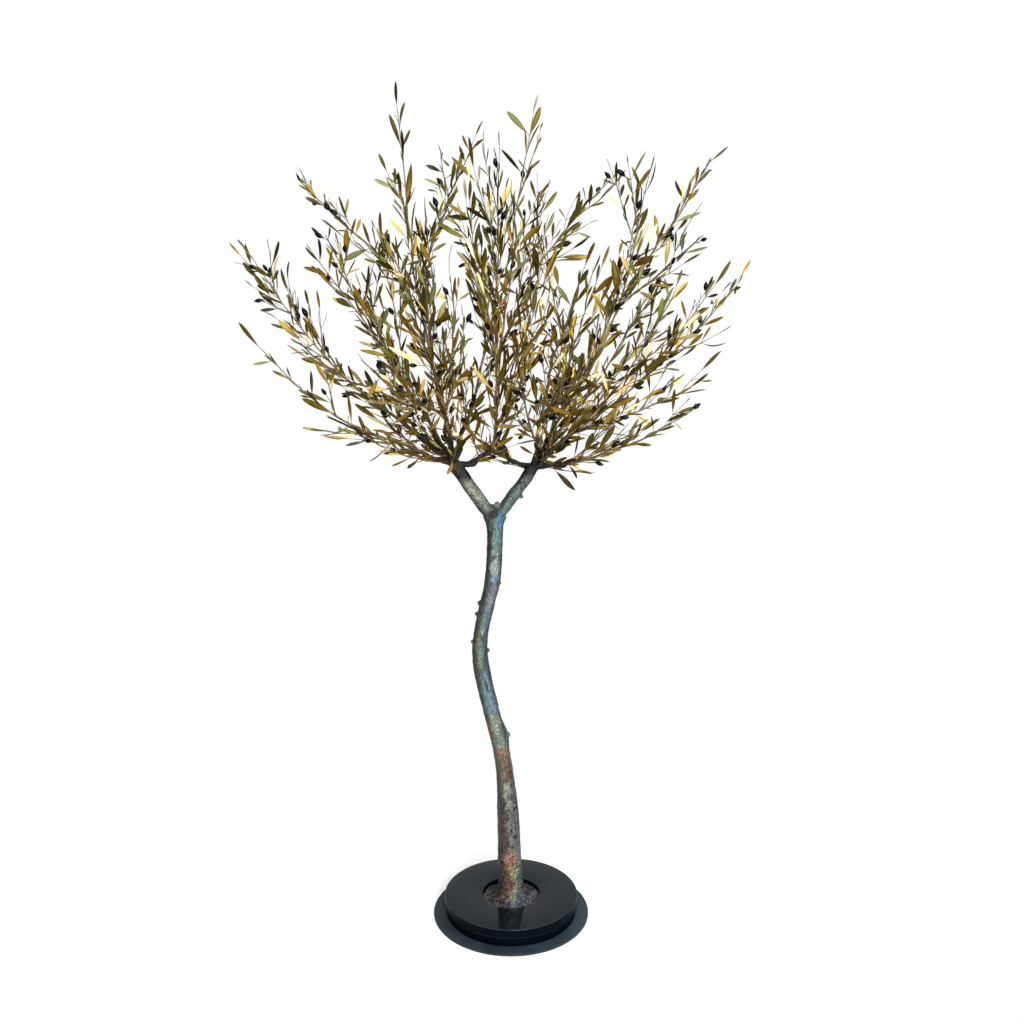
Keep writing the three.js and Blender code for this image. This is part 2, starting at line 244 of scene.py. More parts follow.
@dataclass
class Skin:
    """Points and faces of closed surfaces, with the values that are kept for each point."""

    points: Array
    quads: Array
    tris: Array
    marks: dict[str, Array] = field(default_factory=dict)

    def object(self, name: str, crease: float | None = None) -> bpy.types.Object:
        """Put the skin into a new object at the origin.

        Args:
            name: The object's name.
            crease: The angle in degrees past which an edge is sharp, or None for none.

        Returns:
            The object, linked to the scene.
        """
        corners = np.concatenate([self.quads.ravel(), self.tris.ravel()])
        corner_counts = np.repeat((4, 3), (len(self.quads), len(self.tris)))
        starts = np.concatenate([[0], np.cumsum(corner_counts)[:-1]])
        mesh = bpy.data.meshes.new(name)
        mesh.vertices.add(len(self.points))
        mesh.vertices.foreach_set("co", self.points.astype(np.float32).ravel())
        mesh.loops.add(len(corners))
        mesh.loops.foreach_set("vertex_index", corners.astype(np.int32))
        mesh.polygons.add(len(starts))
        mesh.polygons.foreach_set("loop_start", starts.astype(np.int32))
        mesh.polygons.foreach_set("use_smooth", np.ones(len(starts), bool))
        mesh.update(calc_edges=True)
        mesh.validate()
        if crease is not None:
            mesh.set_sharp_from_angle(angle=math.radians(crease))
        keep_marks(mesh, self.marks)
        return put_in_scene(name, mesh)


def put_in_scene(name: str, data: bpy.types.ID) -> bpy.types.Object:
    """Make an object and link it to the scene.

    Args:
        name: Its name.
        data: Its mesh, lamp or camera.

    Returns:
        The object.
    """
    made = bpy.data.objects.new(name, data)
    bpy.context.scene.collection.objects.link(made)
    return made


def keep_marks(mesh: bpy.types.Mesh, marks: Mapping[str, Array]) -> None:
    """Store numbers, or colours of four numbers, for each point of a mesh.

    Args:
        mesh: The mesh.
        marks: The values by name.
    """
    for name, values in marks.items():
        kind, item = ("FLOAT", "value") if values.ndim == 1 else ("FLOAT_COLOR", "color")
        layer = mesh.attributes.new(name, kind, "POINT")
        layer.data.foreach_set(item, values.astype(np.float32).ravel())


def joined(skins: Sequence[Skin]) -> Skin:
    """Lay several skins side by side in one.

    Args:
        skins: The skins, which all keep the same marks.

    Returns:
        One skin with all their points and faces.
    """
    offsets = np.concatenate([[0], np.cumsum([len(s.points) for s in skins])[:-1]])
    return Skin(
        np.concatenate([s.points for s in skins]),
        np.concatenate([s.quads + o for s, o in zip(skins, offsets)]),
        np.concatenate([s.tris + o for s, o in zip(skins, offsets)]),
        {k: np.concatenate([s.marks[k] for s in skins]) for k in skins[0].marks},
    )


def bands(rings: int, around: int) -> Array:
    """Join the rings of a grid by four-sided faces, each ring to the next and the last to the first.

    Args:
        rings: How many rings there are.
        around: How many points a ring has.

    Returns:
        The faces' point numbers, as ring by place round it by corner.
    """
    i, j = np.meshgrid(np.arange(rings), np.arange(around), indexing="ij")
    down, turn = (i + 1) % rings * around, (j + 1) % around
    return np.stack([i * around + j, i * around + turn, down + turn, down + j], -1)


def closed(grid: Array, first: Array, last: Array) -> Skin:
    """Close rings of points into skins with a point at both ends.

    Four-sided faces join neighbouring rings, and three-sided ones join an end ring to its point.
    Rings run anticlockwise seen from the last end.

    Args:
        grid: Points, as form by ring by place round the ring by coordinate.
        first: The point that closes each form's first ring.
        last: The point that closes each form's last ring.

    Returns:
        One skin with every form.
    """
    forms, rings, around, _ = grid.shape
    quads = bands(rings, around)[:-1]
    j = np.arange(around)
    k = (j + 1) % around
    top = (rings - 1) * around
    near = np.stack([np.full(around, rings * around), k, j], -1)
    far = np.stack([np.full(around, rings * around + 1), top + j, top + k], -1)
    stride = rings * around + 2
    shift = (np.arange(forms) * stride)[:, None, None]
    points = np.concatenate([grid.reshape(forms, -1, 3), first[:, None], last[:, None]], axis=1)
    return Skin(
        points.reshape(-1, 3),
        (quads.reshape(1, -1, 4) + shift).reshape(-1, 4),
        (np.concatenate([near, far])[None] + shift).reshape(-1, 3),
    )


def sections(lines: Array, radii: Array, sides: int) -> Array:
    """Carry a round section along each line.

    A point is the station, plus the radius times the side turned round the line by its angle.

    Args:
        lines: Stations, as line by station by coordinate.
        radii: The radius at each station.
        sides: How many points a ring has.

    Returns:
        Points, as line by station by place round it by coordinate.
    """
    _, side, over = frames(lines)
    angle = once_round(sides)[:, None]
    ring = np.cos(angle) * side[..., None, :] + np.sin(angle) * over[..., None, :]
    return lines[..., None, :] + radii[..., None, None] * ring


def tubes(lines: Array, radii: Array, sides: int) -> Skin:
    """Make tubes along lines, each closed by the ends of its line."""
    return closed(sections(lines, radii, sides), lines[:, 0], lines[:, -1])


def tube(line: Array, radii: Array | float, sides: int) -> Skin:
    """Make one tube along a line, whose radius is one number or one for each station."""
    return tubes(line[None], np.broadcast_to(radii, len(line))[None], sides)


def turned(profile: Array, segments: int) -> Array:
    """Turn a profile of radius and height about the upright axis.

    A point is the radius times the cosine and sine of its angle, at the height.

    Args:
        profile: Radius and height, one a row.
        segments: How many places there are round the axis.

    Returns:
        Points, as profile row by place by coordinate.
    """
    angle = once_round(segments)
    radius = profile[:, 0, None]
    height = np.broadcast_to(profile[:, 1, None], (len(profile), segments))
    return np.stack([radius * np.cos(angle), radius * np.sin(angle), height], axis=-1)


def eased_corners(corners: Array, radius: float, steps: int) -> Array:
    """Round the inner corners of a profile.

    Each becomes the square curve, which the corner pulls on, from `radius` before to `radius`
    after.

    Args:
        corners: Radius and height of the corners, one a row, with the ends kept.
        radius: How far from the corner the rounding starts.
        steps: How many points a rounding has.

    Returns:
        The rounded profile.
    """
    t = shares(steps)[:, None]
    mid = corners[1:-1]
    before = mid + radius * unit(corners[:-2] - mid)
    after = mid + radius * unit(corners[2:] - mid)
    rounds = [(1 - t) ** 2 * b + 2 * t * (1 - t) * m + t**2 * a for b, m, a in zip(before, mid, after)]
    return np.concatenate([corners[:1], *rounds, corners[-1:]])


# ---------------- shaders


@dataclass(frozen=True)
class Value:
    """One shader socket, on which arithmetic is written as plain expressions."""

    sheet: "NodeSheet"
    socket: bpy.types.NodeSocket

    def _math(self, operation: str, first: "Value | float", second: "Value | float") -> "Value":
        """Add a Math node for the operation on the two numbers."""
        return self.sheet.add("ShaderNodeMath", {"operation": operation}, {0: first, 1: second})

    def __add__(self, other: "Value | float") -> "Value":
        """Give self + other."""
        return self._math("ADD", self, other)

    def __sub__(self, other: "Value | float") -> "Value":
        """Give self - other."""
        return self._math("SUBTRACT", self, other)

    def __rsub__(self, other: float) -> "Value":
        """Give other - self."""
        return self._math("SUBTRACT", other, self)

    def __mul__(self, other: "Value | float") -> "Value":
        """Give self * other."""
        return self._math("MULTIPLY", self, other)

    __radd__ = __add__
    __rmul__ = __mul__

    def between(self, low: float, high: float) -> "Value":
        """Give 0 at or below low, 1 at or above high, and an eased slope between."""
        sockets = {"Value": self, "From Min": low, "From Max": high}
        return self.sheet.add("ShaderNodeMapRange", {"interpolation_type": "SMOOTHSTEP"}, sockets)


class NodeSheet:
    """The node tree of one material or of the world."""

    def __init__(self, tree: bpy.types.NodeTree) -> None:
        """Start with an empty tree."""
        self.tree = tree
        tree.nodes.clear()

    def add(
        self,
        kind: str,
        settings: Mapping[str, object] | None = None,
        sockets: Mapping[str | int, object] | None = None,
        output: str | int = 0,
    ) -> Value:
        """Add a node.

        Args:
            kind: The node's type.
            settings: Its settings, which are set first.
            sockets: Values or links of its input sockets, by name or number.
            output: The output that is handed back, by name or number.

        Returns:
            The wrapped output.
        """
        node = self.tree.nodes.new(kind)
        for name, setting in (settings or {}).items():
            setattr(node, name, setting)
        for key, value in (sockets or {}).items():
            if isinstance(value, Value):
                self.tree.links.new(value.socket, node.inputs[key])
            else:
                node.inputs[key].default_value = value
        return Value(self, node.outputs[output] if node.outputs else None)

    def mix(self, factor: Value | float, first: Value | Colour, second: Value | Colour) -> Value:
        """Mix two colours by a factor."""
        return self.add("ShaderNodeMix", {"data_type": "RGBA"}, {0: factor, 6: first, 7: second}, 2)

    def scaled(self, colour: Value | Colour, factor: Value) -> Value:
        """Make a colour lighter or darker by a factor."""
        start = colour if isinstance(colour, Value) else colour[:3]
        return self.add("ShaderNodeVectorMath", {"operation": "SCALE"}, {0: start, "Scale": factor})

    def place(self, stretch: Triple = (1.0, 1.0, 1.0)) -> Value:
        """Give the place on the object, with each direction multiplied by its stretch."""
        where = self.add("ShaderNodeTexCoord", output="Object")
        return self.add("ShaderNodeMapping", None, {"Vector": where, "Scale": stretch})

    def noise(self, scale: float, detail: float, stretch: Triple = (1.0, 1.0, 1.0)) -> Value:
        """Give a noise pattern of 0 to 1 over the object, with `scale` lumps to a metre."""
        sockets = {"Vector": self.place(stretch), "Scale": scale, "Detail": detail}
        return self.add("ShaderNodeTexNoise", None, sockets, "Fac")

    def mark(self, name: str, output: str = "Fac") -> Value:
        """Read a value that the mesh keeps for each point."""
        return self.add("ShaderNodeAttribute", {"attribute_name": name}, None, output)

    def bump(self, height: Value, distance: float, strength: float) -> Value:
        """Turn a height pattern into a normal."""
        sockets = {"Height": height, "Distance": distance, "Strength": strength}
        return self.add("ShaderNodeBump", None, sockets, "Normal")


@dataclass(frozen=True)
class Finish:
    """What every finish shares: its name, and a Principled shader whose sockets it sets."""

    name: str

    def sockets(self, sheet: NodeSheet) -> Sockets:
        """Give the shader's sockets, which each kind of finish has of its own."""
        raise NotImplementedError(self.name)

    def shader(self, sheet: NodeSheet) -> Value:
        """Make the shader."""
        return sheet.add("ShaderNodeBsdfPrincipled", None, self.sockets(sheet))

    def material(self) -> bpy.types.Material:
        """Build the material.

        Returns:
            The material, whose nodes end in the finish's shader.
        """
        made = bpy.data.materials.new(self.name)
        made.use_nodes = True
        sheet = NodeSheet(made.node_tree)
        sheet.add("ShaderNodeOutputMaterial", None, {"Surface": self.shader(sheet)})
        return made


@dataclass(frozen=True)
class LacquerFinish(Finish):
    """Black lacquer, clear coated on its level faces, with faint waviness, a painted reflection on
    the level faces and painted highlights on the outer edges.
    """

    name: str = "black_lacquer"
    base: Colour = linear(3, 9, 14)
    # painted reflection colour of the level faces
    dusty: Colour = linear(4, 17, 22)
    # painted highlight colour of the outer edges
    edge: Colour = linear(66, 84, 104)
    coat_tint: Colour = (0.8, 0.98, 1.0, 1.0)

    def sockets(self, sheet: NodeSheet) -> Sockets:
        """Coat the level faces and paint a reflection on them, and paint highlights on the edges, as the
        mesh keeps them.

        Args:
            sheet: The node sheet.

        Returns:
            The shader's sockets.
        """
        level = sheet.mark("level")
        cloud = sheet.noise(scale=14.0, detail=4.0)
        grain = sheet.noise(scale=900.0, detail=1.0)
        waves = sheet.noise(scale=26.0, detail=2.0)
        # painted reflection: the level faces are mixed towards a paler blue-grey
        colour = sheet.mix(level * (0.55 + 0.45 * cloud), self.base, self.dusty)
        return {
            # painted highlight: the marked outer edges are mixed towards a pale blue-grey
            "Base Color": sheet.mix(sheet.mark("worn") * (0.6 + 0.5 * cloud), colour, self.edge),
            "Roughness": 0.3 + 0.1 * cloud + 0.05 * grain,
            "IOR": 1.1,
            "Coat Weight": level,
            "Coat Roughness": 0.06,
            "Coat IOR": 1.28,
            "Coat Tint": self.coat_tint,
            "Normal": sheet.bump(waves, distance=0.0004, strength=0.2),
        }


@dataclass(frozen=True)
class SatinFinish(Finish):
    """Satin slate paint of the thin flange, scuffed a little lighter in patches."""

    name: str = "slate_satin"
    base: Colour = linear(36, 45, 49)
    scuffed: Colour = linear(49, 61, 70)

    def sockets(self, sheet: NodeSheet) -> Sockets:
        """Lay slow patches between the two colours, and a fine grain.

        Args:
            sheet: The node sheet.

        Returns:
            The shader's sockets.
        """
        cloud = sheet.noise(scale=9.0, detail=4.0)
        grain = sheet.noise(scale=1100.0, detail=1.0)
        return {
            "Base Color": sheet.mix(cloud.between(0.35, 0.65), self.base, self.scuffed),
            "Roughness": 0.42 + 0.16 * grain,
            "IOR": 1.2,
            "Normal": sheet.bump(grain, distance=0.0002, strength=0.3),
        }


@dataclass(frozen=True)
class GroundFinish(Finish):
    """Dark crumpled metal with bright ridges and black hollows."""

    name: str = "crumpled_ground"
    hollow: Colour = linear(26, 25, 25)
    slope: Colour = linear(64, 62, 62)
    ridge: Colour = linear(108, 108, 110)
    warm: Colour = linear(76, 62, 50)
    cool: Colour = linear(84, 93, 112)

    def sockets(self, sheet: NodeSheet) -> Sockets:
        """Colour hollows and ridges by the kept fold, with warm stains and a cool sheen.

        Args:
            sheet: The node sheet.

        Returns:
            The shader's sockets.
        """
        fold = sheet.mark("fold")
        sheen = sheet.mark("sheen")
        stain = sheet.noise(scale=38.0, detail=3.0)
        grit = sheet.noise(scale=260.0, detail=4.0)
        colour = sheet.mix((fold + 0.9 * grit - 0.45).between(0.0, 0.75), self.hollow, self.slope)
        colour = sheet.mix(stain.between(0.45, 0.7) * 0.7 * (1 - sheen), colour, self.warm)
        colour = sheet.mix(sheen * stain.between(0.3, 0.6), colour, self.cool)
        return {
            "Base Color": sheet.mix((fold + 0.5 * grit).between(0.8, 1.4) * 0.55, colour, self.ridge),
            "Metallic": 0.55,
            "Roughness": 0.36 + 0.3 * grit,
            "Normal": sheet.bump(grit, distance=0.0016, strength=0.6),
        }


@dataclass(frozen=True)
class PatinaFinish(Finish):
    """Patinated bronze whose pigments are kept in the mesh, mottled and pitted up close."""

    name: str = "patina_bronze"
    pit: Colour = linear(24, 22, 20)

    def sockets(self, sheet: NodeSheet) -> Sockets:
        """Mottle the kept pigment, with dark cracks and painted shadow by the fork's knob, and with
        glints, most on the rougher skin.

        Args:
            sheet: The node sheet.

        Returns:
            The shader's sockets.
        """
        pigment = sheet.mark("pigment", "Color")
        crack = sheet.mark("crack")
        rough = sheet.mark("rough")
        mottle = sheet.noise(scale=210.0, detail=4.0, stretch=(1.0, 1.0, 0.7))
        grain = sheet.noise(scale=640.0, detail=3.0)
        bright = (mottle.between(0.36, 0.64) - 0.5) * (0.6 + 0.25 * rough)
        fleck = (grain.between(0.38, 0.62) - 0.5) * (0.62 + 0.4 * rough)
        colour = sheet.scaled(pigment, 1.0 + bright + fleck)
        glint = (grain + 0.6 * mottle).between(0.92, 1.08) * (0.5 + 0.5 * rough)
        colour = sheet.mix(glint * (1 - crack) * 0.8, colour, sheet.scaled(pigment, 1.2 + 1.6 * grain))
        return {
            # the crack mark darkens the cracks and lays the painted shadow by the fork's knob
            "Base Color": sheet.mix(crack, colour, self.pit),
            "Metallic": 0.5 - 0.3 * crack,
            "Roughness": 0.34 + 0.2 * mottle + 0.2 * crack,
            "Normal": sheet.bump(grain + 1.6 * mottle, distance=0.0016, strength=0.9),
        }


@dataclass(frozen=True)
class StemFinish(Finish):
    """Bronze stems: dark at the foot, olive brown to grey brown along, with fine rings."""

    name: str = "stem_bronze"
    foot: Colour = linear(36, 28, 21)
    shade: Colour = linear(88, 68, 37)
    light: Colour = linear(146, 122, 76)
    ends: Colour = linear(112, 108, 86)

    def sockets(self, sheet: NodeSheet) -> Sockets:
        """Colour the stem by the kept place along it and by patches.

        Args:
            sheet: The node sheet.

        Returns:
            The shader's sockets.
        """
        along = sheet.mark("along")
        patch = sheet.noise(scale=60.0, detail=3.0)
        grain = sheet.noise(scale=700.0, detail=2.0)
        colour = sheet.mix(patch.between(0.35, 0.68), self.shade, self.light)
        colour = sheet.mix((along + 0.3 * patch).between(0.12, 0.5), self.foot, colour)
        colour = sheet.mix((along + 0.3 * patch).between(0.6, 1.1) * 0.8, colour, self.ends)
        return {
            "Base Color": sheet.scaled(colour, 0.7 + 0.6 * grain),
            "Metallic": 0.45,
            "Roughness": 0.4 + 0.2 * grain,
            "Normal": sheet.bump(grain, distance=0.0005, strength=0.5),
        }


@dataclass(frozen=True)
class LeafFinish(Finish):
    """Gilded leaf metal of one tone, paler along the middle rib, with painted shade on one half
    of the blade, and browner at the stalk.

    It also holds the tone's share of the leaves within the crown and at its outside.
    """

    blade: Colour
    warm: Colour
    within: float
    outside: float
    metallic: float = 0.55
    roughness: float = 0.34
    stalk: Colour = linear(88, 60, 26)

    def sockets(self, sheet: NodeSheet) -> Sockets:
        """Shift each leaf from blade to warm by its kept number, and lighten its rib and paint shade
        on one half of it by its rib mark.

        Args:
            sheet: The node sheet.

        Returns:
            The shader's sockets.
        """
        along = sheet.mark("along")
        cloud = sheet.noise(scale=75.0, detail=3.0)
        grain = sheet.noise(scale=500.0, detail=2.0)
        shift = sheet.mark("tone") + 0.5 * cloud - 0.35 * along
        colour = sheet.mix(shift.between(0.1, 1.0), self.blade, self.warm)
        colour = sheet.mix((1 - along.between(0.0, 0.35)) * 0.55, colour, self.stalk)
        # painted shade: one half of each blade darker than the other, with a paler middle rib
        light = 0.4 + 0.75 * sheet.mark("rib") + 0.5 * cloud + 0.1 * grain
        return {
            "Base Color": sheet.scaled(colour, sheet.mark("shade") * light),
            "Metallic": self.metallic,
            "Roughness": self.roughness + 0.16 * cloud,
            "IOR": 1.32,
            "Normal": sheet.bump(cloud, distance=0.0006, strength=0.4),
        }


@dataclass(frozen=True)
class FruitFinish(Finish):
    """Glossy ripe or green fruit with a thin bloom and small pores."""

    skin: Colour
    bloom: Colour
    roughness: float = 0.2

    def sockets(self, sheet: NodeSheet) -> Sockets:
        """Lay a patchy bloom on a dark skin with a clear gloss.

        Args:
            sheet: The node sheet.

        Returns:
            The shader's sockets.
        """
        patch = sheet.noise(scale=110.0, detail=3.0)
        pores = sheet.noise(scale=1500.0, detail=1.0)
        return {
            "Base Color": sheet.mix(patch.between(0.5, 0.8) * 0.5, self.skin, self.bloom),
            "Roughness": self.roughness + 0.25 * patch,
            "IOR": 1.24,
            "Normal": sheet.bump(pores, distance=0.0002, strength=0.3),
        }


@dataclass(frozen=True)
class FloorFinish(Finish):
    """Matt studio paper that is lit from below towards its edge, as a light table is."""

    name: str = "studio_paper"
    paper: Colour = linear(250, 250, 248)
    fade: Pair = (0.17, 0.3)

    def sockets(self, sheet: NodeSheet) -> Sockets:
        """Give the paper a faint fibre."""
        fibre = sheet.noise(scale=40.0, detail=3.0)
        return {"Base Color": sheet.scaled(self.paper, 0.99 + 0.02 * fibre), "Roughness": 0.9}

    def shader(self, sheet: NodeSheet) -> Value:
        """Fade the paper into the lit part by the distance from the middle.

        Args:
            sheet: The node sheet.

        Returns:
            The mixed shader.
        """
        paper = super().shader(sheet)
        glow = sheet.add("ShaderNodeEmission", None, {"Color": (1, 1, 1, 1), "Strength": 1.0})
        away = sheet.add("ShaderNodeVectorMath", {"operation": "LENGTH"}, {0: sheet.place()}, "Value")
        return sheet.add("ShaderNodeMixShader", None, {0: away.between(*self.fade), 1: paper, 2: glow})


def finish_piece(
    piece: bpy.types.Object, material: bpy.types.Material, stands_for: Sequence[str] = ()
) -> None:
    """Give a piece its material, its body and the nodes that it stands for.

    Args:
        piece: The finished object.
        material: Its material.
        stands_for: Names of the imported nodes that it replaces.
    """
    piece.data.materials.append(material)
    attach(piece, ROOT)
    if stands_for:
        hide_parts(*stands_for)
    LOG.info("%s: %d faces", piece.name, len(piece.data.polygons))


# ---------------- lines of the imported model


def read_back(items: bpy.types.bpy_prop_collection, name: str, width: int = 3) -> Array:
    """Read one property of every vertex or face.

    Args:
        items: The mesh's vertices, faces or normals.
        name: The property.
        width: How many numbers it has.

    Returns:
        The values, one item a row.
    """
    values = np.empty(len(items) * width)
    items.foreach_get(name, values)
    return values.reshape(-1, width)


def node_points(name: str) -> Array:
    """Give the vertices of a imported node."""
    return read_back(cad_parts[name].data.vertices, "co")


def nearest(points: Array, place: Array) -> Array:
    """Give the one of the points that lies nearest a place."""
    return points[np.argmin(sizes(points - place))]


def spine(name: str, start: Array, slabs: int) -> tuple[Array, Array]:
    """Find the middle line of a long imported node.

    The node is cut into slabs from the start to its furthest vertex. A slab's middle is the mean of
    its faces' middles weighted by area, and its radius is their mean distance from it.

    Args:
        name: The node.
        start: The place at which the line starts.
        slabs: How many slabs there are.

    Returns:
        The line, from the slab nearest the start to the furthest vertex, and the slabs' radii.
    """
    points = node_points(name)
    tip = points[np.argmax(sizes(points - start))]
    foot = nearest(points, start)
    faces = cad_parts[name].data.polygons
    middles, areas = read_back(faces, "center"), read_back(faces, "area", 1)[:, 0]
    chord = tip - foot
    share = ((middles - foot) @ chord) / (chord @ chord)
    slab = np.clip((share * slabs).astype(int), 0, slabs - 1)
    weight = np.bincount(slab, areas, slabs)
    centres = np.stack([np.bincount(slab, areas * middles[:, k], slabs) / weight for k in range(3)], 1)
    away = sizes(middles - centres[slab])
    radii = np.bincount(slab, areas * away, slabs) / weight
    return np.vstack([centres, tip]), radii


# ---------------- stand


@dataclass
class Stand:
    """Thin flange, recessed drum and thick top ring of the stand."""

    segments: int = 256
    ease_flange: float = 1.0 * MM
    ease_top: float = 1.6 * MM
    steps: int = 5
    lacquer: LacquerFinish = LacquerFinish()
    satin: SatinFinish = SatinFinish()

    def disc(self, node: str, ease_by: float) -> Skin:
        """Turn a full disc with eased edges, the size of its node.

        Args:
            node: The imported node.
            ease_by: Size of the eased edges.

        Returns:
            The skin.
        """
        low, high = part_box(node)
        corners = np.array([(1e-4, low.z), (high.x, low.z), (high.x, high.z), (1e-4, high.z)])
        grid = turned(eased_corners(corners, ease_by, self.steps), self.segments)[None]
        return closed(grid, np.array([(0.0, 0.0, low.z)]), np.array([(0.0, 0.0, high.z)]))

    def ring(self, node: str, hole: float) -> Skin:
        """Turn a ring with eased edges, the size of its node.

        The profile runs round the section and meets itself under the ring.

        Args:
            node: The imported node.
            hole: Radius of the hole.

        Returns:
            The skin.
        """
        low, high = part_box(node)
        middle = 0.5 * (hole + high.x)
        corners = np.array([
            (middle, low.z), (high.x, low.z), (high.x, high.z), (hole, high.z), (hole, low.z),
            (middle, low.z),
        ])
        profile = eased_corners(corners, self.ease_top, self.steps)[:-1]
        grid = turned(profile, self.segments)
        quads = bands(*grid.shape[:2]).reshape(-1, 4)
        return Skin(grid.reshape(-1, 3), quads, np.empty((0, 3), int))

    def hole_radius(self) -> float:
        """Measure the nearest vertex of the top ring to the axis."""
        return float(sizes(node_points("stand_top")[:, :2]).min())

    def worn(self, points: Array) -> Array:
        """Tell how much painted highlight each point of the top ring takes: its outer eased edges do, most
        below.

        Args:
            points: The ring's points.

        Returns:
            Numbers from 0 to 1.
        """
        low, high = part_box("stand_top")
        rim = ease(2.0 + 2.0 * (np.hypot(points[:, 0], points[:, 1]) - high.x) / self.ease_top)
        under = ease(1.0 - (points[:, 2] - low.z) / self.ease_top)
        over = ease(1.0 - (high.z - points[:, 2]) / self.ease_top)
        return rim * np.maximum(under, 0.4 * over)

    def build(self) -> None:
        """Make the three plates."""
        lacquer = self.lacquer.material()
        flange = self.disc("stand_flange", self.ease_flange).object("flange_plate", crease=30)
        finish_piece(flange, self.satin.material(), ["stand_flange"])
        drum = self.disc("stand_drum", self.ease_flange)
        drum.marks["level"] = drum.marks["worn"] = np.zeros(len(drum.points))
        finish_piece(drum.object("drum_plate", crease=30), lacquer, ["stand_drum"])
        top = self.ring("stand_top", self.hole_radius())
        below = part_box("stand_top")[1].z - top.points[:, 2]
        # the level faces take the clear coat and the painted reflection
        top.marks["level"] = ease(1.5 - below / (0.6 * self.ease_top))
        # painted highlight on the top ring's outer edges, most on the lower one
        top.marks["worn"] = self.worn(top.points)
        finish_piece(top.object("top_ring", crease=30), lacquer, ["stand_top"])


@dataclass
class RootGround:
    """Crumpled sheet of dark metal that fills the stand's hole and laps the foot of the trunk."""

    rings: int = 84
    around: int = 260
    rim_below: float = 9 * MM
    lap: float = 10 * MM
    lap_reach: float = 12 * MM
    fold: float = 2.2 * MM
    gap: float = 0.5 * MM
    finish: GroundFinish = GroundFinish()

    def build(self, foot: Array, girth: float) -> None:
        """Make the ground.

        Its height is a lap, which falls away from the trunk's foot by the exponential of the
        distance, plus sharp folds, which are 1 less the size of a noise that crosses nought.

        Args:
            foot: The centre of the trunk's foot, across and in depth.
            girth: The radius of the trunk's foot.
        """
        low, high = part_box("root_ground")
        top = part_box("stand_top")[1].z
        radius = high.x - self.gap
        share = np.linspace(0.02, 1.0, self.rings)[:, None]
        angle = once_round(self.around)[None]
        x = radius * share * np.cos(angle)
        y = radius * share * np.sin(angle)
        flat = np.stack([x, y, np.zeros_like(x)], -1)
        folds = 0.9 - 1.5 * np.abs(noise(flat, 6 * MM, 3)) + 1.1 * fractal(flat, 4 * MM, 5)
        crests = np.clip(folds, 0.0, 1.3)
        away = np.maximum(np.hypot(x - foot[0], y - foot[1]) - girth, 0.0)
        near = np.exp(-away / self.lap_reach)
        rise = self.lap * near * ease((1.0 - share) / 0.3)
        z = top - self.rim_below + rise + self.fold * (folds - 0.5)
        z = np.maximum(z, low.z + MM)
        base = np.stack([x[-1], y[-1], np.full(self.around, low.z)], -1)
        grid = np.concatenate([base[None], np.stack([x, y, z], -1)[::-1]])
        centre = np.array([[0.0, 0.0, low.z]])
        peak = np.array([[0.0, 0.0, float(z[0].mean())]])
        skin = closed(grid[None], centre, peak)
        right = ease(0.6 + (x - foot[0]) / (40 * MM))
        for name, values in (("fold", crests), ("sheen", np.clip(1.6 * near, 0.0, 1.0) * right)):
            outer = np.concatenate([np.zeros((1, self.around)), values[::-1]]).ravel()
            skin.marks[name] = np.concatenate([outer, [0.0, 1.0]])
        piece = skin.object("ground_sheet", crease=50)
        finish_piece(piece, self.finish.material(), ["root_ground"])


# ---------------- trunk


class Pigment(Enum):
    """The colours that the trunk was heated and brushed to."""

    TEAL = linear(108, 152, 148)
    PALE_TEAL = linear(166, 184, 178)
    AZURE = linear(60, 134, 178)
    SKY = linear(136, 164, 214)
    BLUE = linear(108, 144, 170)
    LILAC = linear(142, 144, 172)
    SLATE = linear(88, 104, 116)
    SAGE = linear(142, 162, 140)
    STRAW = linear(164, 164, 126)
    OLIVE = linear(116, 122, 82)
    MOSS = linear(88, 88, 66)
    TAN = linear(170, 148, 100)
    GREY = linear(98, 103, 100)
    SILVER = linear(130, 130, 124)
    CHALK = linear(180, 182, 164)
    BRONZE = linear(136, 118, 84)
    RUST = linear(186, 114, 30)
    COPPER = linear(190, 128, 94)
    BROWN = linear(134, 112, 92)
    RED = linear(120, 62, 46)
    MAGENTA = linear(128, 48, 66)
    LIME = linear(172, 174, 120)
    UMBER = linear(44, 36, 29)


@dataclass(frozen=True)
class Patch:
    """One brushed patch: its height, bearing, half length and half spread, and its strength.

    Heights are in millimetres. Bearings are degrees from +X towards +Y, so that 270 is the
    front, 180 the left and 0 the right.
    """

    height: float
    bearing: float
    tall: float
    wide: float
    strength: float = 1.0


@dataclass(frozen=True)
class Stub:
    """A cut stub: its height, bearing, radius and how far it stands proud."""

    height: float
    bearing: float
    radius: float
    proud: float


@dataclass(frozen=True)
class Peg:
    """A cut stub by the fork: its foot and tip from the head's middle, in millimetres."""

    foot: Triple
    tip: Triple
    radius: float


@dataclass(frozen=True)
class Oval:
    """An upright oval on the front of the fork, from the trunk's middle and the ground."""

    aside: float
    height: float
    half_wide: float
    half_tall: float


